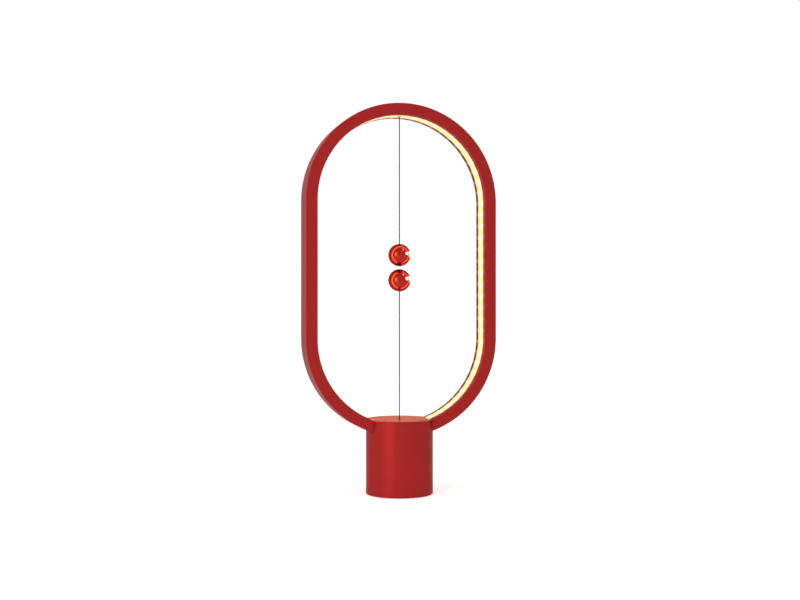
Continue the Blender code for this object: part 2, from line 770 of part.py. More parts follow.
hoop_screw = bmesh.new()
turn(
    hoop_screw,
    screw_profile(SCREW_RADIUS, HOOP_SCREW_LENGTH, SCREW_HEAD_RADIUS, SCREW_HEAD_HEIGHT),
    SMALL_STEPS,
)
screw_seat = spot_height + GAP
set_out(
    hoop_screw,
    screw_steel,
    (("hoop_screw_left", (-PILLAR_X, 0, screw_seat)), ("hoop_screw_right", (PILLAR_X, 0, screw_seat))),
)


# Base housing: a turned wall with an inner floor, and the ribs and bosses grown onto it

housing_shape = bmesh.new()
turn(
    housing_shape,
    [
        (0, FLOOR_UNDER),
        (BASE_INNER_RADIUS, FLOOR_UNDER),
        (BASE_INNER_RADIUS, FOOT_STAND),
        *arc((BASE_RADIUS - RIM_EDGE, FOOT_STAND + RIM_EDGE), RIM_EDGE, -90, 0, CORNER_STEPS),
        *arc((BASE_RADIUS - RIM_EDGE, BASE_HEIGHT - RIM_EDGE), RIM_EDGE, 0, 90, CORNER_STEPS),
        (BASE_INNER_RADIUS, BASE_HEIGHT),
        (BASE_INNER_RADIUS, LEDGE_TOP),
        (LEDGE_RADIUS, LEDGE_TOP),
        (LEDGE_RADIUS, LEDGE_UNDER),
        (BASE_INNER_RADIUS, LEDGE_UNDER),
        (BASE_INNER_RADIUS, FLOOR_TOP),
        (0, FLOOR_TOP),
    ],
)
housing = solid("base_housing", housing_shape, satin_red)

boss_places = [
    (
        BOSS_CIRCLE_RADIUS * math.cos(math.radians(90 + 360 * number / BOSS_COUNT)),
        BOSS_CIRCLE_RADIUS * math.sin(math.radians(90 + 360 * number / BOSS_COUNT)),
    )
    for number in range(BOSS_COUNT)
]
post_places = [(-POST_X, POST_Y), (POST_X, POST_Y)]
switch_screw_places = [
    (SWITCH_FRONT + along * SWITCH_LENGTH, SWITCH_UNDER + up * SWITCH_HEIGHT)
    for along, up in SWITCH_SCREW_SHARES
]
wall_start = SWITCH_WIDTH / 2 + GAP
gusset_depth = HOOP_FRONT - HOOP_WALL / 2
gusset_end = math.sqrt(BASE_INNER_RADIUS**2 - gusset_depth**2) + ROOT / 2
gusset_start = gusset_end - GUSSET_WIDTH

grown = bmesh.new()
pillar_top = hoop_height(PILLAR_X + PILLAR_RADIUS, 0)
for x in (-PILLAR_X, PILLAR_X):
    rod(grown, (x, 0, FLOOR_TOP - ROOT), (x, 0, pillar_top), PILLAR_RADIUS)
for x, y in post_places:
    rod(grown, (x, y, FLOOR_TOP - ROOT), (x, y, FLOOR_TOP + POST_HEIGHT), POST_RADIUS)
for x, y in boss_places:
    rod(grown, (x, y, COVER_TOP + GAP), (x, y, FLOOR_UNDER + ROOT), BOSS_RADIUS)
box(
    grown,
    (wall_start, SWITCH_FRONT, FLOOR_TOP - ROOT),
    (wall_start + SWITCH_WALL, SWITCH_FRONT + SWITCH_LENGTH, SWITCH_TOP),
)
block_half = POCKET_WIDTH / 2 + POCKET_WALL
block_top = PORT_HEIGHT + POCKET_HEIGHT / 2 + POCKET_WALL
box(
    grown,
    (-block_half, POCKET_BACK, FLOOR_TOP - ROOT),
    (block_half, BASE_INNER_RADIUS + ROOT / 2, block_top),
)
for side in (-1, 1):
    for depth in (-gusset_depth - GUSSET_THICKNESS / 2, gusset_depth - GUSSET_THICKNESS / 2):
        web_top = hoop_height(gusset_end, 0)
        outline = [
            (side * gusset_start, depth, web_top),
            (side * gusset_end, depth, web_top),
            (side * gusset_end, depth, web_top - GUSSET_DROP),
            (side * gusset_start, depth, hoop_height(gusset_start, 0) - GUSSET_THICKNESS),
        ]
        prism(grown, outline, (0, GUSSET_THICKNESS, 0))
combine(housing, grown, "UNION")

# The hoop's own outline, a gap larger, cuts the two notches and the seats on pillars and gussets.
notch = bmesh.new()
notch_front = -HOOP_FRONT - GAP
prism(notch, [(x, notch_front, z) for x, z in hoop_outline(GAP)], (0, -2 * notch_front, 0))
combine(housing, notch, "DIFFERENCE")

pocket = bmesh.new()
pocket_outline = rounded_rectangle(POCKET_WIDTH, POCKET_HEIGHT, POCKET_CORNER)
prism(
    pocket,
    [(x, POCKET_FLOOR, PORT_HEIGHT + z) for x, z in pocket_outline],
    (0, POCKET_DEPTH + OVERRUN, 0),
)
combine(housing, pocket, "DIFFERENCE")

holes = bmesh.new()
port_outline = rounded_rectangle(USB_WIDTH + 2 * GAP, USB_HEIGHT + 2 * GAP, USB_HEIGHT / 2)
prism(
    holes,
    [(x, POCKET_BACK - OVERRUN, PORT_HEIGHT + z) for x, z in port_outline],
    (0, POCKET_WALL + 2 * OVERRUN, 0),
)
for x in (-PILLAR_X, PILLAR_X):
    pilot_end = pillar_top - HOOP_SCREW_LENGTH - GAP
    rod(holes, (x, 0, pilot_end), (x, 0, pillar_top + OVERRUN), SCREW_RADIUS + GAP)
for x, y in post_places:
    post_end = BOARD_TOP + GAP - BOARD_SCREW_LENGTH - GAP
    rod(holes, (x, y, post_end), (x, y, BOARD_UNDER + OVERRUN), SMALL_SCREW_RADIUS + GAP)
for x, y in boss_places:
    rod(holes, (x, y, COVER_TOP - OVERRUN), (x, y, COVER_TOP + PILOT_DEPTH), SCREW_RADIUS + GAP)
for y, z in switch_screw_places:
    rod(
        holes,
        (wall_start - GAP, y, z),
        (wall_start + SWITCH_WALL + GAP, y, z),
        SMALL_SCREW_RADIUS + GAP,
    )
combine(housing, holes, "DIFFERENCE")


# Cap and the ring in it that the lower string runs through

seat_depth = BASE_EYELET_FLANGE - BASE_EYELET_STAND + GAP
seat_radius = BASE_EYELET_FLANGE_RADIUS + GAP
cap_radius = BASE_INNER_RADIUS - GAP
cap_hole = BASE_EYELET_RADIUS + GAP
cap_shape = bmesh.new()
turn(
    cap_shape,
    [
        (cap_hole, CAP_UNDER),
        (cap_radius, CAP_UNDER),
        (cap_radius, BASE_HEIGHT - CAP_EDGE),
        (cap_radius - CAP_EDGE, BASE_HEIGHT),
        (seat_radius, BASE_HEIGHT),
        (seat_radius, BASE_HEIGHT - seat_depth),
        (cap_hole, BASE_HEIGHT - seat_depth),
    ],
    ring=True,
)
cap = solid("base_top_cap", cap_shape, satin_red)
clips = bmesh.new()
hook_top = LEDGE_UNDER - GAP
for side in (-1, 1):
    outer = LEDGE_RADIUS - CLIP_SETBACK
    inner = outer - CLIP_THICKNESS
    hook = outer + CLIP_HOOK
    outline = [
        (inner, CAP_UNDER + ROOT),
        (outer, CAP_UNDER + ROOT),
        (outer, hook_top),
        (hook, hook_top),
        (outer, hook_top - CLIP_HOOK_HEIGHT),
        (inner, hook_top - CLIP_HOOK_HEIGHT),
    ]
    prism(clips, [(-CLIP_WIDTH / 2, side * y, z) for y, z in outline], (CLIP_WIDTH, 0, 0))
combine(cap, clips, "UNION")
cap_notches = bmesh.new()
for side in (-1, 1):
    near = side * (CROSSING_X - 2 * GAP)
    far = side * (BASE_RADIUS + OVERRUN)
    box(
        cap_notches,
        (min(near, far), notch_front, CAP_UNDER - OVERRUN),
        (max(near, far), -notch_front, BASE_HEIGHT + OVERRUN),
    )
combine(cap, cap_notches, "DIFFERENCE")

eyelet_seat = BASE_HEIGHT - seat_depth + GAP
eyelet_top = eyelet_seat + BASE_EYELET_FLANGE
eyelet_shape = bmesh.new()
turn(
    eyelet_shape,
    [
        (BASE_EYELET_BORE, eyelet_top - BASE_EYELET_FLARE),
        (BASE_EYELET_BORE, eyelet_top - BASE_EYELET_LENGTH),
        (BASE_EYELET_RADIUS, eyelet_top - BASE_EYELET_LENGTH),
        (BASE_EYELET_RADIUS, eyelet_seat),
        (BASE_EYELET_FLANGE_RADIUS, eyelet_seat),
        (BASE_EYELET_FLANGE_RADIUS, eyelet_top - CAP_EDGE),
        (BASE_EYELET_FLANGE_RADIUS - CAP_EDGE, eyelet_top),
        (BASE_EYELET_BORE + BASE_EYELET_FLARE, eyelet_top),
    ],
    SMALL_STEPS,
    ring=True,
)
solid("base_eyelet", eyelet_shape, satin_red)


# Underside: cover, pad, ballast and the cover's screws

cover_radius = BASE_INNER_RADIUS - GAP
recess_top = PAD_THICKNESS + GAP
head_seat = recess_top + GAP + COVER_HEAD_HEIGHT
cover_shape = bmesh.new()
turn(
    cover_shape,
    [
        (0, recess_top),
        (PAD_RADIUS + GAP, recess_top),
        (PAD_RADIUS + GAP, FOOT_STAND),
        (cover_radius - COVER_EDGE, FOOT_STAND),
        (cover_radius, FOOT_STAND + COVER_EDGE),
        (cover_radius, COVER_TOP),
        (0, COVER_TOP),
    ],
    HIDDEN_STEPS,
)
cover = solid("bottom_cover", cover_shape, dark_red_plastic)
for radius, start in ((SCREW_HEAD_RADIUS + GAP, FOOT_STAND), (SCREW_RADIUS + GAP, recess_top)):
    cover_holes = bmesh.new()
    end = head_seat + GAP if start == FOOT_STAND else COVER_TOP + OVERRUN
    for x, y in boss_places:
        rod(cover_holes, (x, y, start), (x, y, end), radius)
    combine(cover, cover_holes, "DIFFERENCE")

pad_shape = bmesh.new()
pad_profile = [(0, 0), (PAD_RADIUS, 0), (PAD_RADIUS, PAD_THICKNESS), (0, PAD_THICKNESS)]
turn(pad_shape, pad_profile, HIDDEN_STEPS)
solid("foot_pad", pad_shape, dark_pad)

ballast_shape = bmesh.new()
ballast_top = BALLAST_UNDER + BALLAST_THICKNESS
turn(
    ballast_shape,
    [
        (0, BALLAST_UNDER),
        (BALLAST_RADIUS - BALLAST_EDGE, BALLAST_UNDER),
        (BALLAST_RADIUS, BALLAST_UNDER + BALLAST_EDGE),
        (BALLAST_RADIUS, ballast_top - BALLAST_EDGE),
        (BALLAST_RADIUS - BALLAST_EDGE, ballast_top),
        (0, ballast_top),
    ],
    HIDDEN_STEPS,
)
ballast = solid("ballast_weight", ballast_shape, cast_iron)
ballast_holes = bmesh.new()
for x, y in boss_places:
    low = (x, y, BALLAST_UNDER - OVERRUN)
    rod(ballast_holes, low, (x, y, ballast_top + OVERRUN), BOSS_RADIUS + BOSS_CLEARANCE)
combine(ballast, ballast_holes, "DIFFERENCE")

cover_screw = bmesh.new()
turn(
    cover_screw,
    screw_profile(SCREW_RADIUS, COVER_SCREW_LENGTH, SCREW_HEAD_RADIUS, COVER_HEAD_HEIGHT),
    SMALL_STEPS,
)
screw_names = ("cover_screw_back", "cover_screw_left", "cover_screw_right")
set_out(
    cover_screw,
    screw_steel,
    [(name, (x, y, head_seat)) for name, (x, y) in zip(screw_names, boss_places)],
    turned=(math.pi, 0, 0),
)


# Control board with its parts and screws

board_shape = bmesh.new()
box(
    board_shape,
    (-BOARD_WIDTH / 2, BOARD_FRONT, BOARD_UNDER),
    (BOARD_WIDTH / 2, BOARD_BACK, BOARD_TOP),
)
board = solid("control_board", board_shape, board_green)
board_holes = bmesh.new()
for x, y in post_places:
    low = (x, y, BOARD_UNDER - OVERRUN)
    rod(board_holes, low, (x, y, BOARD_TOP + OVERRUN), SMALL_SCREW_RADIUS + GAP)
combine(board, board_holes, "DIFFERENCE")

on_board = BOARD_TOP + GAP
board_screw = bmesh.new()
turn(
    board_screw,
    screw_profile(SMALL_SCREW_RADIUS, BOARD_SCREW_LENGTH, SMALL_HEAD_RADIUS, SMALL_HEAD_HEIGHT),
    SMALL_STEPS,
)
set_out(
    board_screw,
    screw_steel,
    (("board_screw_left", (-POST_X, POST_Y, on_board)), ("board_screw_right", (POST_X, POST_Y, on_board))),
)

parts_line = BOARD_FRONT + POST_INSET
chip_shape = bmesh.new()
box(
    chip_shape,
    (-CHIP_SIZE - COIL_RADIUS / 2, parts_line - CHIP_SIZE / 2, on_board),
    (-COIL_RADIUS / 2, parts_line + CHIP_SIZE / 2, on_board + CHIP_HEIGHT),
)
solid("driver_chip", chip_shape, component_black)
coil_shape = bmesh.new()
rod(
    coil_shape,
    (COIL_RADIUS, parts_line, on_board),
    (COIL_RADIUS, parts_line, on_board + COIL_HEIGHT),
    COIL_RADIUS,
)
solid("choke_coil", coil_shape, component_black)
capacitor_shape = bmesh.new()
capacitor_x = 2 * COIL_RADIUS + CAPACITOR_WIDTH / 2
box(
    capacitor_shape,
    (capacitor_x, parts_line - CAPACITOR_LENGTH / 2, on_board),
    (capacitor_x + CAPACITOR_WIDTH, parts_line + CAPACITOR_LENGTH / 2, on_board + CAPACITOR_HEIGHT),
)
solid("board_capacitor", capacitor_shape, capacitor_tan)

socket_top = on_board + WIRE_SOCKET_HEIGHT
socket_shape = bmesh.new()
box(
    socket_shape,
    (-WIRE_SOCKET_WIDTH / 2, -WIRE_SOCKET_DEPTH / 2, 0),
    (WIRE_SOCKET_WIDTH / 2, WIRE_SOCKET_DEPTH / 2, WIRE_SOCKET_HEIGHT),
)
set_out(
    socket_shape,
    socket_white,
    (
        ("wire_socket_switch", (-WIRE_SOCKET_X, WIRE_SOCKET_Y, on_board)),
        ("wire_socket_lamp", (WIRE_SOCKET_X, WIRE_SOCKET_Y, on_board)),
    ),
)


# Power inlet at the back: a steel shell with a contact tongue

usb_back = POCKET_FLOOR - GAP - USB_DEPTH
usb_shape = bmesh.new()
usb_outline = rounded_rectangle(USB_WIDTH, USB_HEIGHT, USB_HEIGHT / 2 - USB_WALL)
prism(usb_shape, [(x, usb_back, PORT_HEIGHT + z) for x, z in usb_outline], (0, USB_DEPTH, 0))
usb = solid("usb_socket", usb_shape, socket_steel)
usb_inside = bmesh.new()
inner_outline = rounded_rectangle(
    USB_WIDTH - 2 * USB_WALL, USB_HEIGHT - 2 * USB_WALL, USB_HEIGHT / 2 - 2 * USB_WALL
)
prism(
    usb_inside,
    [(x, usb_back + 2 * USB_WALL, PORT_HEIGHT + z) for x, z in inner_outline],
    (0, USB_DEPTH + OVERRUN, 0),
)
combine(usb, usb_inside, "DIFFERENCE")
tongue_shape = bmesh.new()
box(
    tongue_shape,
    (-TONGUE_WIDTH / 2, usb_back + 2 * USB_WALL + GAP, PORT_HEIGHT - TONGUE_THICKNESS / 2),
    (TONGUE_WIDTH / 2, POCKET_FLOOR - GAP - TONGUE_SETBACK, PORT_HEIGHT + TONGUE_THICKNESS / 2),
)
solid("usb_tongue", tongue_shape, component_black)


# Snap switch, hung upside down so that the string pulls its lever up

switch_back = SWITCH_FRONT + SWITCH_LENGTH
half_switch = SWITCH_WIDTH / 2
switch_shape = bmesh.new()
box(switch_shape, (-half_switch, SWITCH_FRONT, SWITCH_UNDER), (half_switch, switch_back, SWITCH_TOP))
switch_body = solid("switch_body", switch_shape, switch_black)
ears = bmesh.new()
for side in (-1, 1):
    near = side * (half_switch - EAR_THICKNESS)
    far = side * half_switch
    box(
        ears,
        (min(near, far), -LEVER_ARM - EAR_LENGTH / 2, LEVER_HEIGHT - EAR_DROP),
        (max(near, far), -LEVER_ARM + EAR_LENGTH / 2, SWITCH_UNDER + ROOT),
    )
combine(switch_body, ears, "UNION")
plunger_y = PLUNGER_ARM - LEVER_ARM
switch_cuts = bmesh.new()
rod(
    switch_cuts,
    (0, plunger_y, SWITCH_UNDER - OVERRUN),
    (0, plunger_y, LEVER_TOP + GAP + PLUNGER_LENGTH + GAP),
    PLUNGER_RADIUS + GAP,
)
rod(
    switch_cuts,
    (-half_switch - OVERRUN, -LEVER_ARM, LEVER_HEIGHT),
    (half_switch + OVERRUN, -LEVER_ARM, LEVER_HEIGHT),
    PIN_RADIUS + GAP,
)
for y, z in switch_screw_places:
    rod(
        switch_cuts,
        (-half_switch - OVERRUN, y, z),
        (half_switch + OVERRUN, y, z),
        SMALL_SCREW_RADIUS + GAP,
    )
combine(switch_body, switch_cuts, "DIFFERENCE")

terminal_shape = bmesh.new()
terminal_base = SWITCH_TOP + GAP
terminal_top = terminal_base + TERMINAL_HEIGHT
terminal_places = [switch_back - share * SWITCH_LENGTH for share in TERMINAL_SHARES]
box(
    terminal_shape,
    (-TERMINAL_THICKNESS / 2, -TERMINAL_WIDTH / 2, 0),
    (TERMINAL_THICKNESS / 2, TERMINAL_WIDTH / 2, TERMINAL_HEIGHT),
)
terminal_names = ("switch_terminal_closed", "switch_terminal_open", "switch_terminal_common")
set_out(
    terminal_shape,
    brass,
    [(name, (0, y, terminal_base)) for name, y in zip(terminal_names, terminal_places)],
)

switch_screw = bmesh.new()
switch_screw_length = SWITCH_WIDTH + 2 * GAP + SWITCH_WALL
turn(
    switch_screw,
    screw_profile(SMALL_SCREW_RADIUS, switch_screw_length, SMALL_HEAD_RADIUS, SMALL_HEAD_HEIGHT),
    SMALL_STEPS,
)
switch_screw_names = ("switch_screw_front", "switch_screw_rear")
set_out(
    switch_screw,
    screw_steel,
    [
        (name, (-half_switch - GAP, y, z))
        for name, (y, z) in zip(switch_screw_names, switch_screw_places)
    ],
    turned=(0, -math.pi / 2, 0),
)

pin_shape = bmesh.new()
rod(pin_shape, (-half_switch, -LEVER_ARM, LEVER_HEIGHT), (half_switch, -LEVER_ARM, LEVER_HEIGHT), PIN_RADIUS)
solid("lever_pin", pin_shape, spring_steel)

lever_pivot = pivot("lever_pivot", (0, -LEVER_ARM, LEVER_HEIGHT))
lever_shape = bmesh.new()
neck = math.degrees(math.asin(LEVER_THICKNESS / 2 / LEVER_EYE_RADIUS))
lever_side = [
    (LEVER_ARM + LEVER_TIP, LEVER_THICKNESS / 2),
    *arc((0, 0), LEVER_EYE_RADIUS, neck, 360 - neck, SMALL_STEPS),
    (LEVER_ARM + LEVER_TIP, -LEVER_THICKNESS / 2),
]
prism(lever_shape, [(-LEVER_WIDTH / 2, y, z) for y, z in lever_side], (LEVER_WIDTH, 0, 0))
lever = solid("switch_lever", lever_shape, spring_steel)
lever_holes = bmesh.new()
rod(lever_holes, (-LEVER_WIDTH, 0, 0), (LEVER_WIDTH, 0, 0), PIN_RADIUS + GAP)
rod(lever_holes, (0, LEVER_ARM, -OVERRUN), (0, LEVER_ARM, OVERRUN), LEVER_HOLE_RADIUS)
combine(lever, lever_holes, "DIFFERENCE")
hang(lever, lever_pivot)

plunger_shape = bmesh.new()
turn(
    plunger_shape,
    [
        (0, 0),
        (PLUNGER_RADIUS - GAP, 0),
        (PLUNGER_RADIUS, GAP),
        (PLUNGER_RADIUS, PLUNGER_LENGTH),
        (0, PLUNGER_LENGTH),
    ],
    SMALL_STEPS,
)
plunger = solid("switch_plunger", plunger_shape, plunger_red)
plunger.location = (0, plunger_y, LEVER_TOP + GAP)


# Strings: the fixed end in the hoop, the free stretches and the stretch inside the base


def string(name, low, high):
    """Lay a straight, taut string between two heights."""
    return tube(name, [(0, 0, low), (0, 0, high)], STRING_RADIUS, string_maroon)


def string_clamp(name, height):
    """Crimp a sleeve round the string, standing on the height."""
    shape = bmesh.new()
    turn(shape, sleeve_profile(STRING_BORE, CLAMP_RADIUS, CLAMP_LENGTH), SMALL_STEPS, ring=True)
    clamp = solid(name, shape, brass)
    clamp.location.z = height
    return clamp


def string_knot(name, radius):
    """Tie a small round knot."""
    shape = bmesh.new()
    bmesh.ops.create_uvsphere(shape, u_segments=SMALL_STEPS, v_segments=SMALL_STEPS // 2, radius=radius)
    return solid(name, shape, string_maroon)


knot_seat = KNOT_RADIUS + GAP
seat_edge = math.degrees(math.asin(KNOT_DROP / knot_seat))
seat_inner = math.degrees(math.acos(STRING_BORE / knot_seat))
eyelet_flange_low = LIGHT_FACE - LIGHT_BACK + GAP
eyelet_flange_high = eyelet_flange_low + HOOP_EYELET_FLANGE
eyelet_high = eyelet_flange_high + HOOP_EYELET_TOP
clamp_seat = eyelet_high - CLAMP_LENGTH
hoop_eyelet_shape = bmesh.new()
turn(
    hoop_eyelet_shape,
    [
        (HOOP_EYELET_RADIUS, 0),
        *arc((0, -KNOT_DROP), knot_seat, seat_edge, seat_inner, CORNER_STEPS),
        (STRING_BORE, clamp_seat - GAP),
        (CLAMP_RADIUS + GAP, clamp_seat - GAP),
        (CLAMP_RADIUS + GAP, eyelet_high),
        (HOOP_EYELET_RADIUS, eyelet_high),
        (HOOP_EYELET_RADIUS, eyelet_flange_high),
        (HOOP_EYELET_FLANGE_RADIUS, eyelet_flange_high),
        (HOOP_EYELET_FLANGE_RADIUS, eyelet_flange_low),
        (HOOP_EYELET_RADIUS, eyelet_flange_low),
    ],
    SMALL_STEPS,
    ring=True,
)
hoop_eyelet = solid("hoop_eyelet", hoop_eyelet_shape, socket_white)
hoop_eyelet.location.z = MOUTH_HEIGHT
string_clamp("upper_string_clamp", MOUTH_HEIGHT + clamp_seat)
string(
    "upper_string_end",
    UPPER_PIVOT + KNOT_RADIUS + GAP,
    MOUTH_HEIGHT + clamp_seat + CLAMP_LENGTH + STRING_END,
)

upper_pivot = pivot("upper_pivot", (0, 0, UPPER_PIVOT))
upper_drop = UPPER_BALL_HEIGHT - UPPER_PIVOT
hang(string_knot("upper_string_knot", KNOT_RADIUS), upper_pivot)
hang(string("upper_string", upper_drop + STOP_UNDER - STRING_END, -KNOT_RADIUS - GAP), upper_pivot)

lower_pivot = pivot("lower_pivot", (0, 0, LOWER_PIVOT))
lower_rise = LOWER_BALL_HEIGHT - LOWER_PIVOT
hang(string_knot("lower_string_bend", BEND_RADIUS), lower_pivot)
hang(string("lower_string", BEND_RADIUS + GAP, lower_rise - STOP_UNDER + STRING_END), lower_pivot)
pull_clamp_low = LEVER_UNDER - GAP - CLAMP_LENGTH
string("pull_string", pull_clamp_low - STRING_END, LOWER_PIVOT - BEND_RADIUS - GAP)
string_clamp("pull_string_clamp", pull_clamp_low)


# Balls: bored from the string's side for a magnet, and closed by a plug that carries the string


def ball_meshes():
    """Build the meshes of one ball's pieces, with the string's side up."""
    start = math.degrees(math.acos(BALL_BORE / BALL_RADIUS))
    floor = BALL_WALL - BALL_RADIUS
    ball_shape = bmesh.new()
    turn(
        ball_shape,
        [
            (0, floor),
            (BALL_BORE, floor),
            *arc((0, 0), BALL_RADIUS, start, -90, BALL_ARC_STEPS),
        ],
        BALL_STEPS,
    )
    plug_radius = BALL_BORE - GAP
    rim = math.degrees(math.acos(plug_radius / BALL_RADIUS))
    crown = math.degrees(math.acos(STRING_BORE / BALL_RADIUS))
    plug_shape = bmesh.new()
    turn(
        plug_shape,
        [
            (STRING_BORE, PLUG_UNDER),
            (plug_radius, PLUG_UNDER),
            *arc((0, 0), BALL_RADIUS, rim, crown, PLUG_ARC_STEPS),
        ],
        SMALL_STEPS,
        ring=True,
    )
    magnet_shape = bmesh.new()
    turn(
        magnet_shape,
        [
            (0, floor + GAP),
            (MAGNET_RADIUS - MAGNET_EDGE, floor + GAP),
            (MAGNET_RADIUS, floor + GAP + MAGNET_EDGE),
            (MAGNET_RADIUS, floor + GAP + MAGNET_HEIGHT - MAGNET_EDGE),
            (MAGNET_RADIUS - MAGNET_EDGE, floor + GAP + MAGNET_HEIGHT),
            (0, floor + GAP + MAGNET_HEIGHT),
        ],
        SMALL_STEPS,
    )
    stop_shape = bmesh.new()
    turn(
        stop_shape,
        sleeve_profile(STRING_BORE, CLAMP_RADIUS, CLAMP_LENGTH),
        SMALL_STEPS,
        Matrix.Translation((0, 0, STOP_UNDER)),
        ring=True,
    )
    return (
        ("ball", ball_shape, gloss_red),
        ("ball_plug", plug_shape, gloss_red),
        ("ball_magnet", magnet_shape, magnet_nickel),
        ("ball_stop", stop_shape, brass),
    )


for kind, shape, material in ball_meshes():
    upper = solid("upper_" + kind, shape, material)
    lower = bpy.data.objects.new("lower_" + kind, upper.data)
    bpy.context.collection.objects.link(lower)
    hang(upper, upper_pivot, (0, 0, upper_drop))
    hang(lower, lower_pivot, (0, 0, lower_rise))
    lower.rotation_euler.x = math.pi


# Wires inside the base: a pair from the tape to the board, and a pair from the switch to the board

wire_inset = HOOP_WALL + 2 * GAP + WIRE_RADIUS
wire_end = socket_top + GAP
tape_line = HOOP_RADIUS - TAPE_INSET
tape_end_x = tape_line * math.sin(TAPE_START) - 2 * GAP
bar_edge = CROSSING_X * BAR_REACH_SHARE
bar_side = BAR_WIDTH / 2
for name, side, material in (("lamp_wire_plus", 1, wire_red), ("lamp_wire_minus", -1, wire_black)):
    shift = side * WIRE_SPREAD
    hole_y = WIRE_HOLE_Y + shift
    socket_x = WIRE_SOCKET_X + shift
    tape_y = TAPE_WIDTH * 3 / 8 + shift
    trough = [
        (tape_end_x, tape_y),
        (bar_edge + 2 * WIRE_RADIUS, tape_y + 3 * WIRE_RADIUS),
        (bar_edge - 2 * WIRE_RADIUS, bar_side + 5 * WIRE_RADIUS + shift),
        ((bar_edge + WIRE_HOLE_X) / 2, hole_y),
        (WIRE_HOLE_X + 4 * WIRE_RADIUS, hole_y),
    ]
    mouth = hoop_height(WIRE_HOLE_X, wire_inset)
    drop = mouth - wire_end
    route = [(x, y, hoop_height(x, wire_inset)) for x, y in trough]
    route += [
        (WIRE_HOLE_X, hole_y, mouth - 2 * WIRE_RADIUS),
        (WIRE_HOLE_X, hole_y, mouth - 8 * WIRE_RADIUS),
        (WIRE_HOLE_X + shift, (hole_y + WIRE_SOCKET_Y) / 2, wire_end + drop / 2),
        (socket_x, WIRE_SOCKET_Y, wire_end + drop / 4),
        (socket_x, WIRE_SOCKET_Y, wire_end),
    ]
    tube(name, route, WIRE_RADIUS, material)

wire_start = terminal_top + 2 * GAP
wire_loop = 4 * WIRE_RADIUS
for name, side, y in (
    ("switch_wire_one", 1, terminal_places[1]),
    ("switch_wire_two", -1, terminal_places[2]),
):
    socket_x = -WIRE_SOCKET_X + side * WIRE_SPREAD
    swing_x = -WIRE_SOCKET_X + 2 * side * WIRE_SPREAD
    route = [
        (0, y, wire_start),
        (0, y, wire_start + wire_loop / 2),
        (swing_x / 2, y + wire_loop, wire_start + wire_loop),
        (swing_x, y / 8, wire_start + wire_loop),
        (swing_x, WIRE_SOCKET_Y / 2, wire_start),
        (socket_x, WIRE_SOCKET_Y, (wire_start + wire_end) / 2),
        (socket_x, WIRE_SOCKET_Y, wire_end),
    ]
    tube(name, route, WIRE_RADIUS, wire_black)
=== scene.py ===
# %% [markdown]
# # A lit hoop lamp with two magnetic balls
#
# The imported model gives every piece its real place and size. This lesson dresses it: finer meshes where a
# round or a long curve shows, finishes on everything, plain light and the photograph's camera.
# Lengths are metres, and one millimetre is named MM, because most sizes of a lamp are told in it.

import math

import bmesh
import bpy
from mathutils import Matrix, Vector


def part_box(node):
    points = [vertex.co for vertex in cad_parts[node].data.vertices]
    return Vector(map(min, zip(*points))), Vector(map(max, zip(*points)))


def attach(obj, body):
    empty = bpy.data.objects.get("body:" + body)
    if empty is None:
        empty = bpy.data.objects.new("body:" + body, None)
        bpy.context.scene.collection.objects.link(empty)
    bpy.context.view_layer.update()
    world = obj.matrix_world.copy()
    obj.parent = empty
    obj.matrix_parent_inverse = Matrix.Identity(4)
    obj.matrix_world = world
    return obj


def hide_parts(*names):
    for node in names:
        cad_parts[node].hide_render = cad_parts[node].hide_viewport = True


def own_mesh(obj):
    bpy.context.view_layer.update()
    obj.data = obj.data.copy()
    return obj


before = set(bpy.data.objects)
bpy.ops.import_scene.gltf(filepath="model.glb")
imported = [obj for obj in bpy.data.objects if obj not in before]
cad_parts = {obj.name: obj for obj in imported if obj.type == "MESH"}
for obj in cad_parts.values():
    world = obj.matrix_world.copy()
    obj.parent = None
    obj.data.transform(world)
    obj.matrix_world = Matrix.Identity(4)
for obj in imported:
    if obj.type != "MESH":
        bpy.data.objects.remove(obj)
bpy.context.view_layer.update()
MM = 0.001


def show(name, data):
    """Put an object with this data into the scene."""
    thing = bpy.data.objects.new(name, data)
    bpy.context.scene.collection.objects.link(thing)
    return thing


print("nodes:", len(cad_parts))

# %% [markdown]
# ## The camera
#
# A camera is matched to a photograph by its place and its lens. The lamp was seen from 14.7 degrees left of
# its front, nearly level with the middle of its hoop. The lens is long enough to keep the hoop's sides
# straight.

# %% Camera
CAMERA_PLACE = Vector((-0.2995, -1.1439, 0.1978))
CAMERA_TURN = math.radians(14.70)
CAMERA_RISE = 0.00122
CAMERA_LENS = 51.66

ahead = Vector((math.sin(CAMERA_TURN), math.cos(CAMERA_TURN), CAMERA_RISE))
camera_data = bpy.data.cameras.new("photo_camera")
camera_data.lens = CAMERA_LENS
camera = show("photo_camera", camera_data)
camera.location = CAMERA_PLACE
camera.rotation_euler = ahead.to_track_quat("-Z", "Y").to_euler()
bpy.context.scene.camera = camera
print("camera looks along", [round(part, 4) for part in ahead.normalized()])

# %% [markdown]
# ## Sizes read from the frame
#
# Nothing is measured twice. The hoop is a stadium: two half circles with a straight run between them, so its
# box gives its radius and the heights of both centres. The few sizes that no box can tell, such as a wall or
# the width of a lip, are named here and used by every piece that meets there.

# %% Sizes
shell_low, shell_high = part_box("hoop_front_shell")
HOOP_RADIUS = (shell_high.x - shell_low.x) / 2
HOOP_FRONT = -shell_low.y
HOOP_LOW_CENTRE = shell_low.z + HOOP_RADIUS
HOOP_TOP_CENTRE = shell_high.z - HOOP_RADIUS
HOOP_THICKNESS = 12 * MM
HOOP_WALL = 2.2 * MM
HOOP_EDGE = 0.7 * MM
LIP_WIDTH = 6.4 * MM
LIP_THICKNESS = 1.8 * MM
LAP_LENGTH = 1.2 * MM
LAP_STEP = 0.95 * MM
GAP = 0.3 * MM

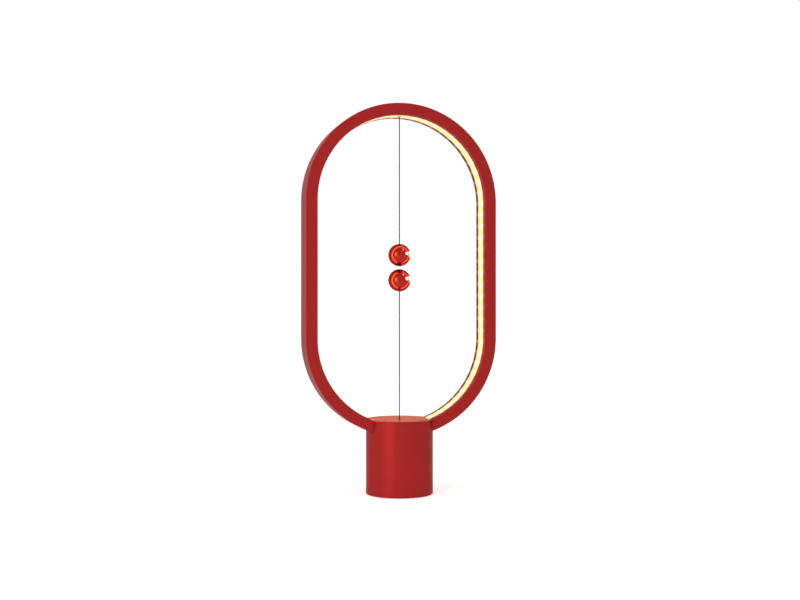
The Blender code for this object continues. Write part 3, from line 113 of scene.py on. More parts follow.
housing_low, housing_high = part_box("base_housing")
cap_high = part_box("base_top_cap")[1]
BASE_RADIUS = housing_high.y
BASE_TOP = housing_high.z
BASE_INNER_RADIUS = cap_high.y + GAP
INNER_RADIUS = HOOP_RADIUS - HOOP_THICKNESS
CROSSING_X = math.sqrt(INNER_RADIUS**2 - (HOOP_LOW_CENTRE - BASE_TOP) ** 2)
print("hoop radius", round(HOOP_RADIUS / MM, 2), "mm, centres", HOOP_LOW_CENTRE, HOOP_TOP_CENTRE)
print("base radius", round(BASE_RADIUS / MM, 2), "mm, hoop leaves the top at x", round(CROSSING_X / MM, 2))

# %% [markdown]
# ## Node helpers
#
# Shader trees and geometry trees are written alike: a node is added with its settings, and its inputs get
# plain values or the outputs of other nodes. These helpers do that for every tree below.

# %% Node helpers
SHADER = "ShaderNodeTree"
GEOMETRY = "GeometryNodeTree"
WHITE = (1, 1, 1, 1)
MIX_FIRST, MIX_SECOND, MIX_COLOUR = 6, 7, 2


def supply(socket, value):
    """Give an input its value: another node's output is linked to it, anything else is set on it."""
    if isinstance(value, bpy.types.NodeSocket):
        socket.id_data.links.new(value, socket)
    else:
        socket.default_value = value


def feed(node, **values):
    """Supply a node's inputs by name. An underscore stands for a space."""
    for label, value in values.items():
        supply(node.inputs[label.replace("_", " ")], value)


def add(tree, kind, settings=None, **values):
    """Add a node with its settings and supply its inputs."""
    node = tree.nodes.new(kind)
    for label, value in (settings or {}).items():
        setattr(node, label, value)
    feed(node, **values)
    return node


def step(tree, operation, first, second=0.0):
    """Add a math node and give its output. A plain number or an output can stand on either side."""
    node = add(tree, "ShaderNodeMath", {"operation": operation})
    supply(node.inputs[0], first)
    supply(node.inputs[1], second)
    return node.outputs[0]


def mixed(tree, share, first, second):
    """Mix two colours, each of them plain or an output. The node has these sockets at fixed places."""
    node = add(tree, "ShaderNodeMix", {"data_type": "RGBA"}, Factor=share)
    supply(node.inputs[MIX_FIRST], first)
    supply(node.inputs[MIX_SECOND], second)
    return node.outputs[MIX_COLOUR]


def group(tree, inner, **values):
    """Place a node group, supply its inputs and give its outputs."""
    return add(tree, "ShaderNodeGroup", {"node_tree": inner}, **values).outputs


def written(tree, name):
    """Read a number that each point of the mesh carries."""
    return add(tree, "ShaderNodeAttribute", {"attribute_name": name}).outputs["Fac"]


def seen_directly(tree):
    """Give 1 for what the camera or a gloss sees, and 0 for the light on matt surfaces."""
    rays = add(tree, "ShaderNodeLightPath").outputs
    return step(tree, "MAXIMUM", rays["Is Camera Ray"], rays["Is Glossy Ray"])


def new_tree(name, family, inputs, outputs, **first):
    """Start a tree with named sockets, each given as label=kind, and first values for some inputs."""
    tree = bpy.data.node_groups.new(name, family)
    for way, sockets in (("INPUT", inputs), ("OUTPUT", outputs)):
        for label, kind in sockets.items():
            tree.interface.new_socket(label.replace("_", " "), in_out=way, socket_type="NodeSocket" + kind)
    for label, value in first.items():
        tree.interface.items_tree[label].default_value = value
    return tree, tree.nodes.new("NodeGroupInput"), tree.nodes.new("NodeGroupOutput")


def new_paint(name):
    """Start a material and give it with its tree and its shader."""
    material = bpy.data.materials.new(name)
    material.use_nodes = True
    return material, material.node_tree, material.node_tree.nodes["Principled BSDF"]


def join(*chain):
    """Link nodes one after the other by their first sockets."""
    for before, after in zip(chain, chain[1:]):
        supply(after.inputs[0], before.outputs[0])


def grow(piece, tree, **values):
    """Put a geometry tree on a piece and set its named inputs by their socket identifiers."""
    maker = piece.modifiers.new(tree.name, "NODES")
    maker.node_group = tree
    sockets = {item.name: item.identifier for item in tree.interface.items_tree if item.in_out == "INPUT"}
    for label, value in values.items():
        maker[sockets[label.replace("_", " ")]] = value


# %% [markdown]
# ## Floor, world and lamps
#
# The lamp stands on plain white. The floor is a real surface, so it keeps the shadow under the base, and the
# world is seen by the camera and by gloss at a strength of one, which is white. What the world sends to matt
# surfaces is lower and falls off to the right, because a softbox on the left and a warm one above do part of
# the work. Two more lamps are there for the balls alone: light linking keeps them off everything else.

# %% World
WORLD_FOR_MATT = (0.82, 0.52)
world = bpy.data.worlds.new("white_studio")
bpy.context.scene.world = world
world.use_nodes = True
sky = world.node_tree
sky.nodes.clear()
let_through = add(sky, "ShaderNodeLightPath").outputs["Is Transmission Ray"]
clear = step(sky, "MAXIMUM", seen_directly(sky), let_through)
direction = add(sky, "ShaderNodeTexCoord").outputs["Generated"]
sideways = add(sky, "ShaderNodeSeparateXYZ", Vector=direction).outputs["X"]
left, right = WORLD_FOR_MATT
falloff = add(sky, "ShaderNodeMapRange", Value=sideways, From_Min=-1.0, To_Min=left, To_Max=right)
level = add(sky, "ShaderNodeMapRange", Value=clear, To_Min=falloff.outputs["Result"])
backdrop = add(sky, "ShaderNodeBackground", Color=WHITE, Strength=level.outputs["Result"])
add(sky, "ShaderNodeOutputWorld", Surface=backdrop.outputs[0])
bpy.context.scene.view_settings.view_transform = "Standard"
print("matt surfaces get", WORLD_FOR_MATT, "of the white that the camera sees, from left to right")

# %% Lamps
HALFWAY = Vector((0, 0, (HOOP_LOW_CENTRE + HOOP_TOP_CENTRE) / 2))


def softbox(name, place, size, power, colour=(1, 1, 1), matt=True):
    """Hang a rectangular lamp that faces the middle of the hoop."""
    data = bpy.data.lights.new(name, "AREA")
    data.shape = "RECTANGLE"
    data.size, data.size_y = size
    data.energy = power
    data.color = colour
    lamp = show(name, data)
    lamp.location = place
    lamp.rotation_euler = (HALFWAY - Vector(place)).to_track_quat("-Z", "Y").to_euler()
    lamp.visible_camera = False
    lamp.visible_diffuse = matt
    return lamp


softbox("key_left", (-1.16, -0.95, 0.40), (0.6, 0.9), 7.0)
warm_top = softbox("warm_top", (0.0, -0.55, 1.35), (0.9, 0.6), 4.0, (1.0, 0.80, 0.62))
warm_top.visible_glossy = False
side_right = softbox("side_right", (1.20, 0.15, 0.44), (1.9, 0.45), 290.0, matt=False)
side_right.rotation_euler.rotate_axis("Z", math.radians(-9))
spot_high = softbox("spot_high", (0.5, -0.45, 1.10), (0.14, 0.14), 5.0, (1.0, 0.7, 0.4), matt=False)
shiny = bpy.data.collections.new("mirror_gloss_only")
for lamp in (side_right, spot_high):
    lamp.light_linking.receiver_collection = shiny
print("lamps kept to the balls:", side_right.name, spot_high.name)

# %% Floor
FLOOR_SIZE = 6.0
FLOOR_GREY = (0.86, 0.86, 0.86, 1)
FLOOR_GLOW = 0.45
shape = bmesh.new()
bmesh.ops.create_grid(shape, x_segments=1, y_segments=1, size=FLOOR_SIZE)
floor_mesh = bpy.data.meshes.new("pale_floor")
shape.to_mesh(floor_mesh)
shape.free()
floor = show("pale_floor", floor_mesh)
paint, tree, shader = new_paint("pale_floor")
feed(shader, Base_Color=FLOOR_GREY, Roughness=0.9, Specular_IOR_Level=0.0, Emission_Color=WHITE)
feed(shader, Emission_Strength=step(tree, "MULTIPLY", seen_directly(tree), FLOOR_GLOW))
floor_mesh.materials.append(paint)

# %% [markdown]
# ## Effects that several finishes share
#
# A shader node group is built once and placed in each material with its own numbers. The first one is what
# any moulded or painted surface has: a very fine grain, and wide, weak patches where it is a little duller.
# It reads Object coordinates, so the pattern stays put on the piece and needs no unwrapping.

# %% Group: surface life
GRAIN_DETAIL, PATCH_DETAIL = 2.0, 4.0
surface_life, life_in, life_out = new_tree(
    "surface_life",
    SHADER,
    dict(Colour="Color", Roughness="Float", Grain_Size="Float", Patch_Size="Float", Unevenness="Float"),
    dict(Colour="Color", Roughness="Float", Height="Float"),
)
given = life_in.outputs
place = add(surface_life, "ShaderNodeTexCoord").outputs["Object"]


def noise(size, detail):
    """Add a noise whose patches are of a given size."""
    scale = step(surface_life, "DIVIDE", 1.0, size)
    return add(surface_life, "ShaderNodeTexNoise", Vector=place, Scale=scale, Detail=detail).outputs["Fac"]


def uneven_by(fraction):
    """Centre a noise on zero and scale it by the unevenness."""
    centred = step(surface_life, "SUBTRACT", fraction, 0.5)
    return step(surface_life, "MULTIPLY", centred, given["Unevenness"])


grain = noise(given["Grain Size"], GRAIN_DETAIL)
swing = uneven_by(noise(given["Patch Size"], PATCH_DETAIL))
both = step(surface_life, "ADD", uneven_by(grain), swing)
lighter = step(surface_life, "ADD", both, 1.0)
tint = add(surface_life, "ShaderNodeHueSaturation", Value=lighter, Color=given["Colour"])
duller = step(surface_life, "ADD", given["Roughness"], swing)
feed(life_out, Colour=tint.outputs["Color"], Roughness=duller, Height=grain)
print("group surface_life:", len(surface_life.nodes), "nodes")

# %% [markdown]
# ## One recipe for the plain finishes
#
# Most pieces differ only in numbers: colour, gloss, metal or not, how coarse the grain is. So one function
# makes them all. What is constant over the surface is set on the shader itself, and what varies comes from
# the group.

# %% Finish recipe


def finish(name, colour, roughness, metal=0.0, grain=0.4, patch=30, uneven=0.05, bump=0.02, **flat):
    """Make a material from a colour and the surface_life group. Grain and patch are in millimetres."""
    material, tree, shader = new_paint(name)
    life = group(
        tree, surface_life, Colour=(*colour, 1), Roughness=roughness, Grain_Size=grain * MM,
        Patch_Size=patch * MM, Unevenness=uneven,
    )
    relief = add(tree, "ShaderNodeBump", Strength=bump, Distance=grain * MM, Height=life["Height"])
    feed(shader, Metallic=metal, Base_Color=life["Colour"], Roughness=life["Roughness"], **flat)
    feed(shader, Normal=relief.outputs["Normal"])
    material.diffuse_color = (*colour, 1)
    return material


# %% Finishes of the pieces below
shell_satin = finish(
    "satin_red_shell", (0.342, 0.021, 0.020), 0.36, 0.5, uneven=0.04, bump=0.03, Specular_IOR_Level=0.15,
    Specular_Tint=(0.30, 0.06, 0.05, 1),
)
# The cap's top is polished, and its colour and edge tint are a lighter, more orange red than the shells':
# painted warm light from the strip.
cap_gloss_painted_warm = finish(
    "polished_cap_painted_warm_light", (0.50, 0.085, 0.06), 0.16, 0.5, uneven=0.03, bump=0.0, Specular_IOR_Level=0.0,
    Specular_Tint=(1.0, 0.34, 0.13, 1),
)
ball_gloss = finish(
    "mirror_red_ball", (0.35, 0.015, 0.009), 0.13, 1.0, uneven=0.02, bump=0.0,
    Specular_Tint=(0.16, 0.03, 0.01, 1), Coat_Weight=0.2, Coat_Roughness=0.10,
)
pad_foam = finish("black_foam_pad", (0.03, 0.028, 0.028), 0.85, grain=0.6, uneven=0.3, bump=0.6)
cover_matt = finish("dark_red_cover", (0.12, 0.012, 0.014), 0.5, grain=0.5, uneven=0.1, bump=0.2)
drawn_steel = finish("drawn_steel", (0.62, 0.62, 0.63), 0.25, 1.0, 0.1, 4, 0.1, 0.04)
black_plastic = finish("black_plastic", (0.028, 0.028, 0.031), 0.48, 0.0, 0.25, 5, 0.15, 0.15)
white_plastic = finish("white_plastic", (0.8, 0.79, 0.74), 0.45, 0.0, 0.25, 5, 0.04, 0.05)
gold = finish("gold_contact", (0.75, 0.52, 0.2), 0.22, 1.0, 0.1, 1, 0.05, 0.01)
thread_maroon = finish(
    "maroon_thread", (0.085, 0.004, 0.007), 0.8, 0.0, 0.12, 0.6, 0.35, 0.5, Specular_IOR_Level=0.05
)
print("materials so far:", len(bpy.data.materials))

# %% [markdown]
# ## Making meshes
#
# Three small helpers make nearly every piece: one turns a half outline about the upright axis, as on a
# lathe, one pulls an outline along a line, and one cuts or grows a body with another. Turned pieces get 144
# faces round, so that no corner shows even close up.

# %% Mesh helpers
ROUND = 144
SHARP = math.radians(30)
WELD = 0.001 * MM


def piece_from(name, shape, material):
    """Close a bmesh into a named object at the origin, with outward faces and sharp real edges."""
    bmesh.ops.remove_doubles(shape, verts=shape.verts, dist=WELD)
    bmesh.ops.recalc_face_normals(shape, faces=shape.faces)
    mesh = bpy.data.meshes.new(name)
    shape.to_mesh(mesh)
    shape.free()
    mesh.materials.append(material)
    mesh.shade_smooth()
    mesh.set_sharp_from_angle(angle=SHARP)
    return show(name, mesh)


def turned(name, profile, material, steps=ROUND, ring=False):
    """Turn (radius, height) points about Z: from axis to axis, or as a closed loop for a ring."""
    shape = bmesh.new()
    points = [shape.verts.new((radius, 0, height)) for radius, height in profile]
    edges = [shape.edges.new(pair) for pair in zip(points, points[1:])]
    if ring:
        edges.append(shape.edges.new((points[-1], points[0])))
    bmesh.ops.spin(shape, geom=points + edges, cent=(0, 0, 0), axis=(0, 0, 1), angle=math.tau, steps=steps)
    return piece_from(name, shape, material)


def pulled(shape, outline, run):
    """Pull the face through the outline's points along run."""
    face = shape.faces.new([shape.verts.new(point) for point in outline])
    made = bmesh.ops.extrude_face_region(shape, geom=[face])
    moved = [item for item in made["geom"] if isinstance(item, bmesh.types.BMVert)]
    bmesh.ops.translate(shape, verts=moved, vec=run)


def block(shape, low, high):
    """Add a block between two corners."""
    outline = [(low[0], low[1]), (high[0], low[1]), (high[0], high[1]), (low[0], high[1])]
    pulled(shape, [(x, y, low[2]) for x, y in outline], (0, 0, high[2] - low[2]))


def through(shape, outline, front, back):
    """Pull an outline of (x, z) points from one depth to another."""
    pulled(shape, [(x, front, z) for x, z in outline], (0, back - front, 0))


def rod(shape, start, end, radius, steps=32):
    """Add a round bar between two points."""
    start, end = Vector(start), Vector(end)
    turn = (end - start).to_track_quat("Z", "Y").to_matrix().to_4x4()
    bmesh.ops.create_cone(
        shape, cap_ends=True, segments=steps, radius1=radius, radius2=radius,
        depth=(end - start).length, matrix=Matrix.Translation((start + end) / 2) @ turn,
    )


def uprights(shape, places, low, high, radius, steps=32):
    """Add an upright round bar at each place."""
    for x, y, *_ in places:
        rod(shape, (x, y, low), (x, y, high), radius, steps)


def combine(piece, shape, operation="DIFFERENCE"):
    """Cut the shape from the piece (DIFFERENCE) or grow it onto the piece (UNION)."""
    tool = piece_from("tool", shape, piece.data.materials[0])
    change = piece.modifiers.new("change", "BOOLEAN")
    change.operation = operation
    change.object = tool
    bake(piece)
    bpy.data.objects.remove(tool)


def bake(piece, keep_normals=False):
    """Turn the evaluated piece into its plain mesh and drop its modifiers."""
    graph = bpy.context.evaluated_depsgraph_get()
    result = bpy.data.meshes.new_from_object(piece.evaluated_get(graph), depsgraph=graph)
    piece.modifiers.clear()
    piece.data = result
    if not keep_normals:
        result.shade_smooth()
        result.set_sharp_from_angle(angle=SHARP)


def arc(centre, radius, start, end, steps):
    """List points of an arc in a plane, from one angle in degrees to another."""
    angles = [math.radians(start + (end - start) * count / steps) for count in range(steps + 1)]
    return [(centre[0] + radius * math.cos(a), centre[1] + radius * math.sin(a)) for a in angles]


def rounded(width, height, corner, middle_height, steps=8):
    """List (x, z) points of a rounded rectangle about x = 0 and a height."""
    points = []
    for side_x, side_z, start in ((1, 1, 0), (-1, 1, 90), (-1, -1, 180), (1, -1, 270)):
        centre = (side_x * (width / 2 - corner), middle_height + side_z * (height / 2 - corner))
        points += arc(centre, corner, start, start + 90, steps)
    return points


def settle(piece, body, slot, *nodes):
    """Weigh a piece's normals by face size, let it ride with its body and hide the CAD nodes it stands for.
    The slot is not used.
    """
    weigh = piece.modifiers.new("weigh", "WEIGHTED_NORMAL")
    weigh.keep_sharp = True
    bake(piece, keep_normals=True)
    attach(piece, body)
    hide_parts(*nodes)
    print(piece.name, "has", len(piece.data.polygons), "faces")


# %% [markdown]
# ## A tree that sweeps a section round the hoop
#
# The hoop's shells and its light strip are one idea: a section that follows a line. Geometry Nodes do this
# with Curve to Mesh. The tree takes the line as its own geometry and the section and the material as named
# inputs. It also writes down how far along the line each point lies, counted from the top, because the light
# chips behind the strip repeat along that line and the finishes have to know where they are.

# %% Sweep tree
sweep, sweep_in, sweep_out = new_tree(
    "sweep_section",
    GEOMETRY,
    dict(Line="Geometry", Section="Object", Material="Material"),
    dict(Shell="Geometry"),
)
how_far = add(sweep, "GeometryNodeSplineParameter").outputs["Length"]
whole = add(sweep, "GeometryNodeSplineLength").outputs["Length"]
from_top = step(sweep, "SUBTRACT", how_far, step(sweep, "MULTIPLY", whole, 0.5))
section = add(sweep, "GeometryNodeObjectInfo", Object=sweep_in.outputs["Section"])
section = add(sweep, "GeometryNodeMeshToCurve", Mesh=section.outputs["Geometry"])
join(
    sweep_in,
    add(sweep, "GeometryNodeMeshToCurve"),
    add(sweep, "GeometryNodeStoreNamedAttribute", Name="along", Value=from_top),
    add(sweep, "GeometryNodeCurveToMesh", Profile_Curve=section.outputs[0], Fill_Caps=True),
    add(sweep, "GeometryNodeRealizeInstances"),
    add(sweep, "GeometryNodeSetMaterial", Material=sweep_in.outputs["Material"]),
    sweep_out,
)
print("tree sweep_section:", len(sweep.nodes), "nodes")

# %% [markdown]
# The line itself is short to write down: an angle runs from the hoop's lowest point up one side, over the top
# and down again, and what lies above the lower centre is lifted by the straight run. It follows the light
# chips, a little inside the hoop's outer face, so that lengths along it are the tape's own.

# %% Line and section helpers
LINE_INSET = HOOP_WALL + GAP + 0.15 * MM
HOOP_STEPS = 256
SPOT_PITCH = 12.2 * MM


def hoop_line(start=0.0):
    """Make the line as a mesh: closed for a start of zero, else open from that angle on."""
    count = HOOP_STEPS if start else HOOP_STEPS - 1
    radius = HOOP_RADIUS - LINE_INSET
    points = []
    for number in range(count + 1):
        # Half a step keeps every point off the widest place, where the straight run begins.
        share = number / count if start else (number + 0.5) / HOOP_STEPS
        angle = start + (math.tau - 2 * start) * share
        centre = HOOP_LOW_CENTRE if math.cos(angle) > 0 else HOOP_TOP_CENTRE
        points.append((radius * math.sin(angle), 0, centre - radius * math.cos(angle)))
    edges = [(number, number + 1) for number in range(count)]
    if not start:
        edges.append((count, 0))
    mesh = bpy.data.meshes.new("line")
    mesh.from_pydata(points, edges, [])
    return mesh


def swept(name, section, start, material, lips=(), lip_painted_light_weight=1.0):
    """Sweep a section of (inset, depth) points along the hoop, and mark the points that are lips with the
    weight of their painted shade and glow.
    """
    outline = bpy.data.meshes.new("section")
    points = [(-depth, LINE_INSET - inset, 0) for inset, depth in section]
    outline.from_pydata(points, [(n, (n + 1) % len(points)) for n in range(len(points))], [])
    mark = outline.attributes.new("lip", "FLOAT", "POINT")
    for number in lips:
        mark.data[number].value = lip_painted_light_weight
    section_object = show("section", outline)
    piece = show(name, hoop_line(start))
    grow(piece, sweep, Section=section_object, Material=material)
    bake(piece)
    bpy.data.objects.remove(section_object)
    shape = bmesh.new()
    shape.from_mesh(piece.data)
    bmesh.ops.recalc_face_normals(shape, faces=shape.faces)
    shape.to_mesh(piece.data)
    shape.free()
    piece.data.set_sharp_from_angle(angle=SHARP)
    return piece


# %% [markdown]
# ## The lit strip's finish
#
# A milky strip hides a row of light chips, and each chip still shows as a paler spot with a more yellow
# stretch between it and the next. The attribute written by the sweep says where the chips are. The camera
# sees a level that keeps the strip's colour, and the pieces round it get the stronger, warmer light.

# %% Strip finish
BETWEEN_CHIPS = (1.0, 0.87, 0.36, 1)
OVER_A_CHIP = (1.0, 0.95, 0.70, 1)
STRIP_LIGHT = (1.0, 0.80, 0.25, 1)
STRIP_POWER = 2.2
STRIP_IN_GLOSS = 13.0
chip_glow, glow_in, glow_out = new_tree(
    "chip_glow", SHADER, dict(Pitch="Float", Sharpness="Float"), dict(Spot="Float", Colour="Color"),
    Pitch=SPOT_PITCH, Sharpness=1.5,
)
cycles = step(chip_glow, "DIVIDE", written(chip_glow, "along"), glow_in.outputs["Pitch"])
wave = step(chip_glow, "COSINE", step(chip_glow, "MULTIPLY", cycles, math.tau))
spot = step(chip_glow, "MULTIPLY", step(chip_glow, "SUBTRACT", 1.0, wave), 0.5)
spot = step(chip_glow, "POWER", spot, glow_in.outputs["Sharpness"])
feed(glow_out, Spot=spot, Colour=mixed(chip_glow, spot, BETWEEN_CHIPS, OVER_A_CHIP))

strip_lit, tree, shader = new_paint("milky_strip_lit")
rays = add(tree, "ShaderNodeLightPath").outputs
glow = group(tree, chip_glow)["Colour"]
dimmed = step(tree, "MULTIPLY", rays["Is Camera Ray"], 1.0 - STRIP_POWER)
mirrored = step(tree, "MULTIPLY", rays["Is Glossy Ray"], STRIP_IN_GLOSS - STRIP_POWER)
power = step(tree, "ADD", step(tree, "ADD", dimmed, STRIP_POWER), mirrored)
feed(shader, Base_Color=(0.1, 0.08, 0.05, 1), Roughness=0.5, Specular_IOR_Level=0.0)
feed(shader, Emission_Color=mixed(tree, rays["Is Camera Ray"], STRIP_LIGHT, glow), Emission_Strength=power)
print("one bright spot every", round(SPOT_PITCH / MM, 1), "mm")

# %% [markdown]
# The lips beside the strip get little light of their own, so their colour is mixed towards a dark brown:
# painted shade. Beside each chip the lips get a weak warm glow: a painted spill of the chip's light. The
# sweep marks them with an attribute of its own, which says how strongly each lip gets both.

# %% Lips of the shells
# Painted light on the lips: how sharp each painted spill spot is, how far the lips' colour goes towards the
# painted dark brown shade, how strongly the spill glows, and its colours.
LIP_SHARPNESS = 5.0
LIP_PAINTED_DARKENING = 0.7
LIP_PAINTED_SPILL = 0.26
LIP_PAINTED_SHADE = (0.05, 0.012, 0.006, 1)
LIP_PAINTED_SPILL_COLOUR = (1.0, 0.56, 0.28, 1)
painted_lip_light, _, spill_out = new_tree("painted_lip_light", SHADER, {}, dict(Lip="Float", Spill="Float"))
lip = written(painted_lip_light, "lip")
spot = group(painted_lip_light, chip_glow, Sharpness=LIP_SHARPNESS)["Spot"]
feed(spill_out, Lip=lip, Spill=step(painted_lip_light, "MULTIPLY", lip, spot))

tree = shell_satin.node_tree
shader = tree.nodes["Principled BSDF"]
on_lip = group(tree, painted_lip_light)
plain = shader.inputs["Base Color"].links[0].from_socket
# Painted shade: lips are mixed towards a dark brown. Painted light: they glow weakly in a warm spot beside
# each chip.
shade = step(tree, "MULTIPLY", on_lip["Lip"], LIP_PAINTED_DARKENING)
spill = step(tree, "MULTIPLY", on_lip["Spill"], LIP_PAINTED_SPILL)
feed(shader, Base_Color=mixed(tree, shade, plain, LIP_PAINTED_SHADE))
feed(shader, Emission_Color=LIP_PAINTED_SPILL_COLOUR, Emission_Strength=spill)
print("lips are darkened by", LIP_PAINTED_DARKENING)

# %% [markdown]
# The light tape lies behind the strip. It's white laminate with chips that stand proud of it, so how far a
# point lies inside the hoop's outer face tells which of the two it belongs to. That distance is worked out
# from Object coordinates: a stadium is a straight line with a round distance about it.

# %% Tape finish
CHIP_SEAT = LINE_INSET + 1.2 * MM
CHIP_GLOW = 2.0
stadium, _, stadium_out = new_tree("stadium_inset", SHADER, {}, dict(Inset="Float"))
place = add(stadium, "ShaderNodeTexCoord").outputs["Object"]
split = add(stadium, "ShaderNodeSeparateXYZ", Vector=place).outputs
half_run = (HOOP_TOP_CENTRE - HOOP_LOW_CENTRE) / 2
above = step(stadium, "ABSOLUTE", step(stadium, "SUBTRACT", split["Z"], HOOP_LOW_CENTRE + half_run))
past_run = step(stadium, "MAXIMUM", step(stadium, "SUBTRACT", above, half_run))
squares = step(
    stadium, "ADD", step(stadium, "POWER", past_run, 2.0), step(stadium, "MULTIPLY", split["X"], split["X"])
)
feed(stadium_out, Inset=step(stadium, "SUBTRACT", HOOP_RADIUS, step(stadium, "SQRT", squares)))

tape_lit = finish("light_tape", (0.82, 0.8, 0.74), 0.5, 0.0, 0.3, 3, 0.05, 0.05)
tree = tape_lit.node_tree
on_chip = step(tree, "GREATER_THAN", group(tree, stadium)["Inset"], CHIP_SEAT)
feed(
    tree.nodes["Principled BSDF"],
    Emission_Color=(1.0, 0.78, 0.32, 1),
    Emission_Strength=step(tree, "MULTIPLY", on_chip, CHIP_GLOW),
)
print("chips shine, the tape doesn't")

# %% [markdown]
# ## The hoop's two shells
#
# The hoop is moulded in two halves, front and back, that lap over each other along the outer face. Each has a
# C-shaped section: outer wall, side wall and a lip that reaches over the strip's edge. Only the outer corners
# are rounded, by 0.7 mm, which gives the thin line of light along the edge.

# %% Hoop shells
OVERRUN = 2 * MM
CAP_UNDER = cap_high.z - 2.5 * MM
PLANE_TOP = CAP_UNDER - GAP
PIERCED = 6 * MM
STRING_HOLE_RADIUS = 1.8 * MM
SCREW_RADIUS = 1.2 * MM
WIRE_HOLE = (10.5 * MM, 8.8 * MM)
WIRE_HOLE_RADIUS = 2.8 * MM
# How strongly each lip gets the painted shade and painted spill: fully on the rear lip, less on the front
# one.
REAR_LIP_PAINTED_LIGHT, FRONT_LIP_PAINTED_LIGHT = 1.0, 0.3


def middle(name):
    """Give the middle of a CAD node's box."""
    low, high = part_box(name)
    return (low + high) / 2


hoop_screws = [middle("hoop_screw_left"), middle("hoop_screw_right")]


def shell_section(side):
    """Give the (inset, depth) points of one half: side is -1 at the front and 1 at the rear."""
    front = side * HOOP_FRONT
    seam = side * GAP / 2
    held = (LAP_STEP + GAP, LAP_LENGTH) if side < 0 else (LAP_STEP, LAP_LENGTH + GAP)
    lip = front - side * LIP_WIDTH
    behind_lip = HOOP_THICKNESS - LIP_THICKNESS
    points = [(0, seam), (held[0], seam), held, (HOOP_WALL, held[1]), (HOOP_WALL, front - side * HOOP_WALL)]
    points += [(behind_lip, front - side * HOOP_WALL), (behind_lip, lip)]
    lips = range(len(points) - 1, len(points) + 2)
    points += [(HOOP_THICKNESS, lip)]
    for centre, start in ((HOOP_THICKNESS - HOOP_EDGE, 0), (HOOP_EDGE, 90)):
        for inset, rise in arc((0, 0), HOOP_EDGE, start, start + 90, 5):
            points.append((centre + inset, front - side * (HOOP_EDGE - rise)))
    return points, lips


def hoop_shell(name, side):
    """Sweep one half, plane it flat under the base's cap and pierce it as the mould does."""
    section, lips = shell_section(side)
    shell = swept(name, section, 0.0, shell_satin, lips, REAR_LIP_PAINTED_LIGHT if side > 0 else FRONT_LIP_PAINTED_LIGHT)
    deep = HOOP_FRONT + OVERRUN
    reach = CROSSING_X - GAP
    planed = bmesh.new()
    block(planed, (-reach, -deep, PLANE_TOP), (reach, deep, BASE_TOP + OVERRUN))
    combine(shell, planed)
    holes = bmesh.new()
    low = HOOP_LOW_CENTRE - HOOP_RADIUS - OVERRUN
    high = low + OVERRUN + PIERCED
    uprights(holes, [(0, 0)], low, high, STRING_HOLE_RADIUS)
    uprights(holes, hoop_screws, low, high, SCREW_RADIUS + GAP)
    if side > 0:
        uprights(holes, [WIRE_HOLE], low, high, WIRE_HOLE_RADIUS)
    combine(shell, holes)
    return shell


settle(hoop_shell("hoop_shell_front", -1), "lamp", "shell_red", "hoop_front_shell")
settle(hoop_shell("hoop_shell_rear", 1), "lamp", "shell_red", "hoop_rear_shell")

# %% [markdown]
# ## The light strip
#
# The strip is a milky T: its face fills the slot between the lips and its flange reaches behind them. It is
# swept along the same line as the shells, but it starts and ends where the hoop dives into the base. The
# edges of its face are rounded, as an extruded strip's are, so its glow has no hard edge.

# %% Diffuser strip
STRIP_RECESS = 0.2 * MM
STRIP_FLANGE = 1.4 * MM
STRIP_GRIP = 2.5 * MM
STRIP_ROUND = 0.4 * MM
EYELET_RADIUS = 2.3 * MM
strip_face = HOOP_THICKNESS - STRIP_RECESS
flange_face = HOOP_THICKNESS - LIP_THICKNESS - GAP
strip_half = HOOP_FRONT - LIP_WIDTH - GAP
half = arc((strip_face - STRIP_ROUND, strip_half - STRIP_ROUND), STRIP_ROUND, 0, 90, 4)
half += [(flange_face, strip_half), (flange_face, strip_half + STRIP_GRIP)]
half += [(flange_face - STRIP_FLANGE, strip_half + STRIP_GRIP)]
section = half + [(inset, -depth) for inset, depth in reversed(half)]
strip = swept("light_strip", section, math.asin(CROSSING_X / INNER_RADIUS), strip_lit)
mouth = HOOP_TOP_CENTRE + HOOP_RADIUS - strip_face
hole = bmesh.new()
uprights(hole, [(0, 0)], mouth - OVERRUN, mouth + 3 * OVERRUN, EYELET_RADIUS + GAP, 48)
combine(strip, hole)
settle(strip, "lamp", "diffuser", "diffuser_strip")

# %% [markdown]
# ## The base
#
# The base is one moulded can with an inner floor. A lathe profile gives its walls, and the posts, pillars and
# webs that carry the hoop, the board and the switch are grown onto it before the hoop's own outline is cut
# out of it. Round things that must look round are turned with many faces. The corners at the top and at the
# foot have a radius of 0.8 mm, which catches a thin line of light.

# %% Base housing
RIM = 0.8 * MM
ROOT = 1 * MM
POST_HEIGHT = 4 * MM
FLOOR_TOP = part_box("control_board")[0].z - GAP - POST_HEIGHT
FLOOR_UNDER = FLOOR_TOP - 2.4 * MM
FOOT_STAND = housing_low.z
LEDGE_RADIUS = BASE_INNER_RADIUS - 2.1 * MM
LEDGE_UNDER = PLANE_TOP - 2 * MM
COVER_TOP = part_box("bottom_cover")[1].z


def hoop_height(x):
    """Give the height of the hoop's outer face at x, low down in the base."""
    return HOOP_LOW_CENTRE - math.sqrt(HOOP_RADIUS**2 - x**2)


can = [(0, FLOOR_UNDER), (BASE_INNER_RADIUS, FLOOR_UNDER), (BASE_INNER_RADIUS, FOOT_STAND)]
can += arc((BASE_RADIUS - RIM, FOOT_STAND + RIM), RIM, -90, 0, 6)
can += arc((BASE_RADIUS - RIM, BASE_TOP - RIM), RIM, 0, 90, 6)
can += [(BASE_INNER_RADIUS, BASE_TOP), (BASE_INNER_RADIUS, PLANE_TOP), (LEDGE_RADIUS, PLANE_TOP)]
can += [(LEDGE_RADIUS, LEDGE_UNDER), (BASE_INNER_RADIUS, LEDGE_UNDER), (BASE_INNER_RADIUS, FLOOR_TOP)]
housing = turned("base_can", [*can, (0, FLOOR_TOP)], shell_satin)
print("base can turned with", ROUND, "faces round")

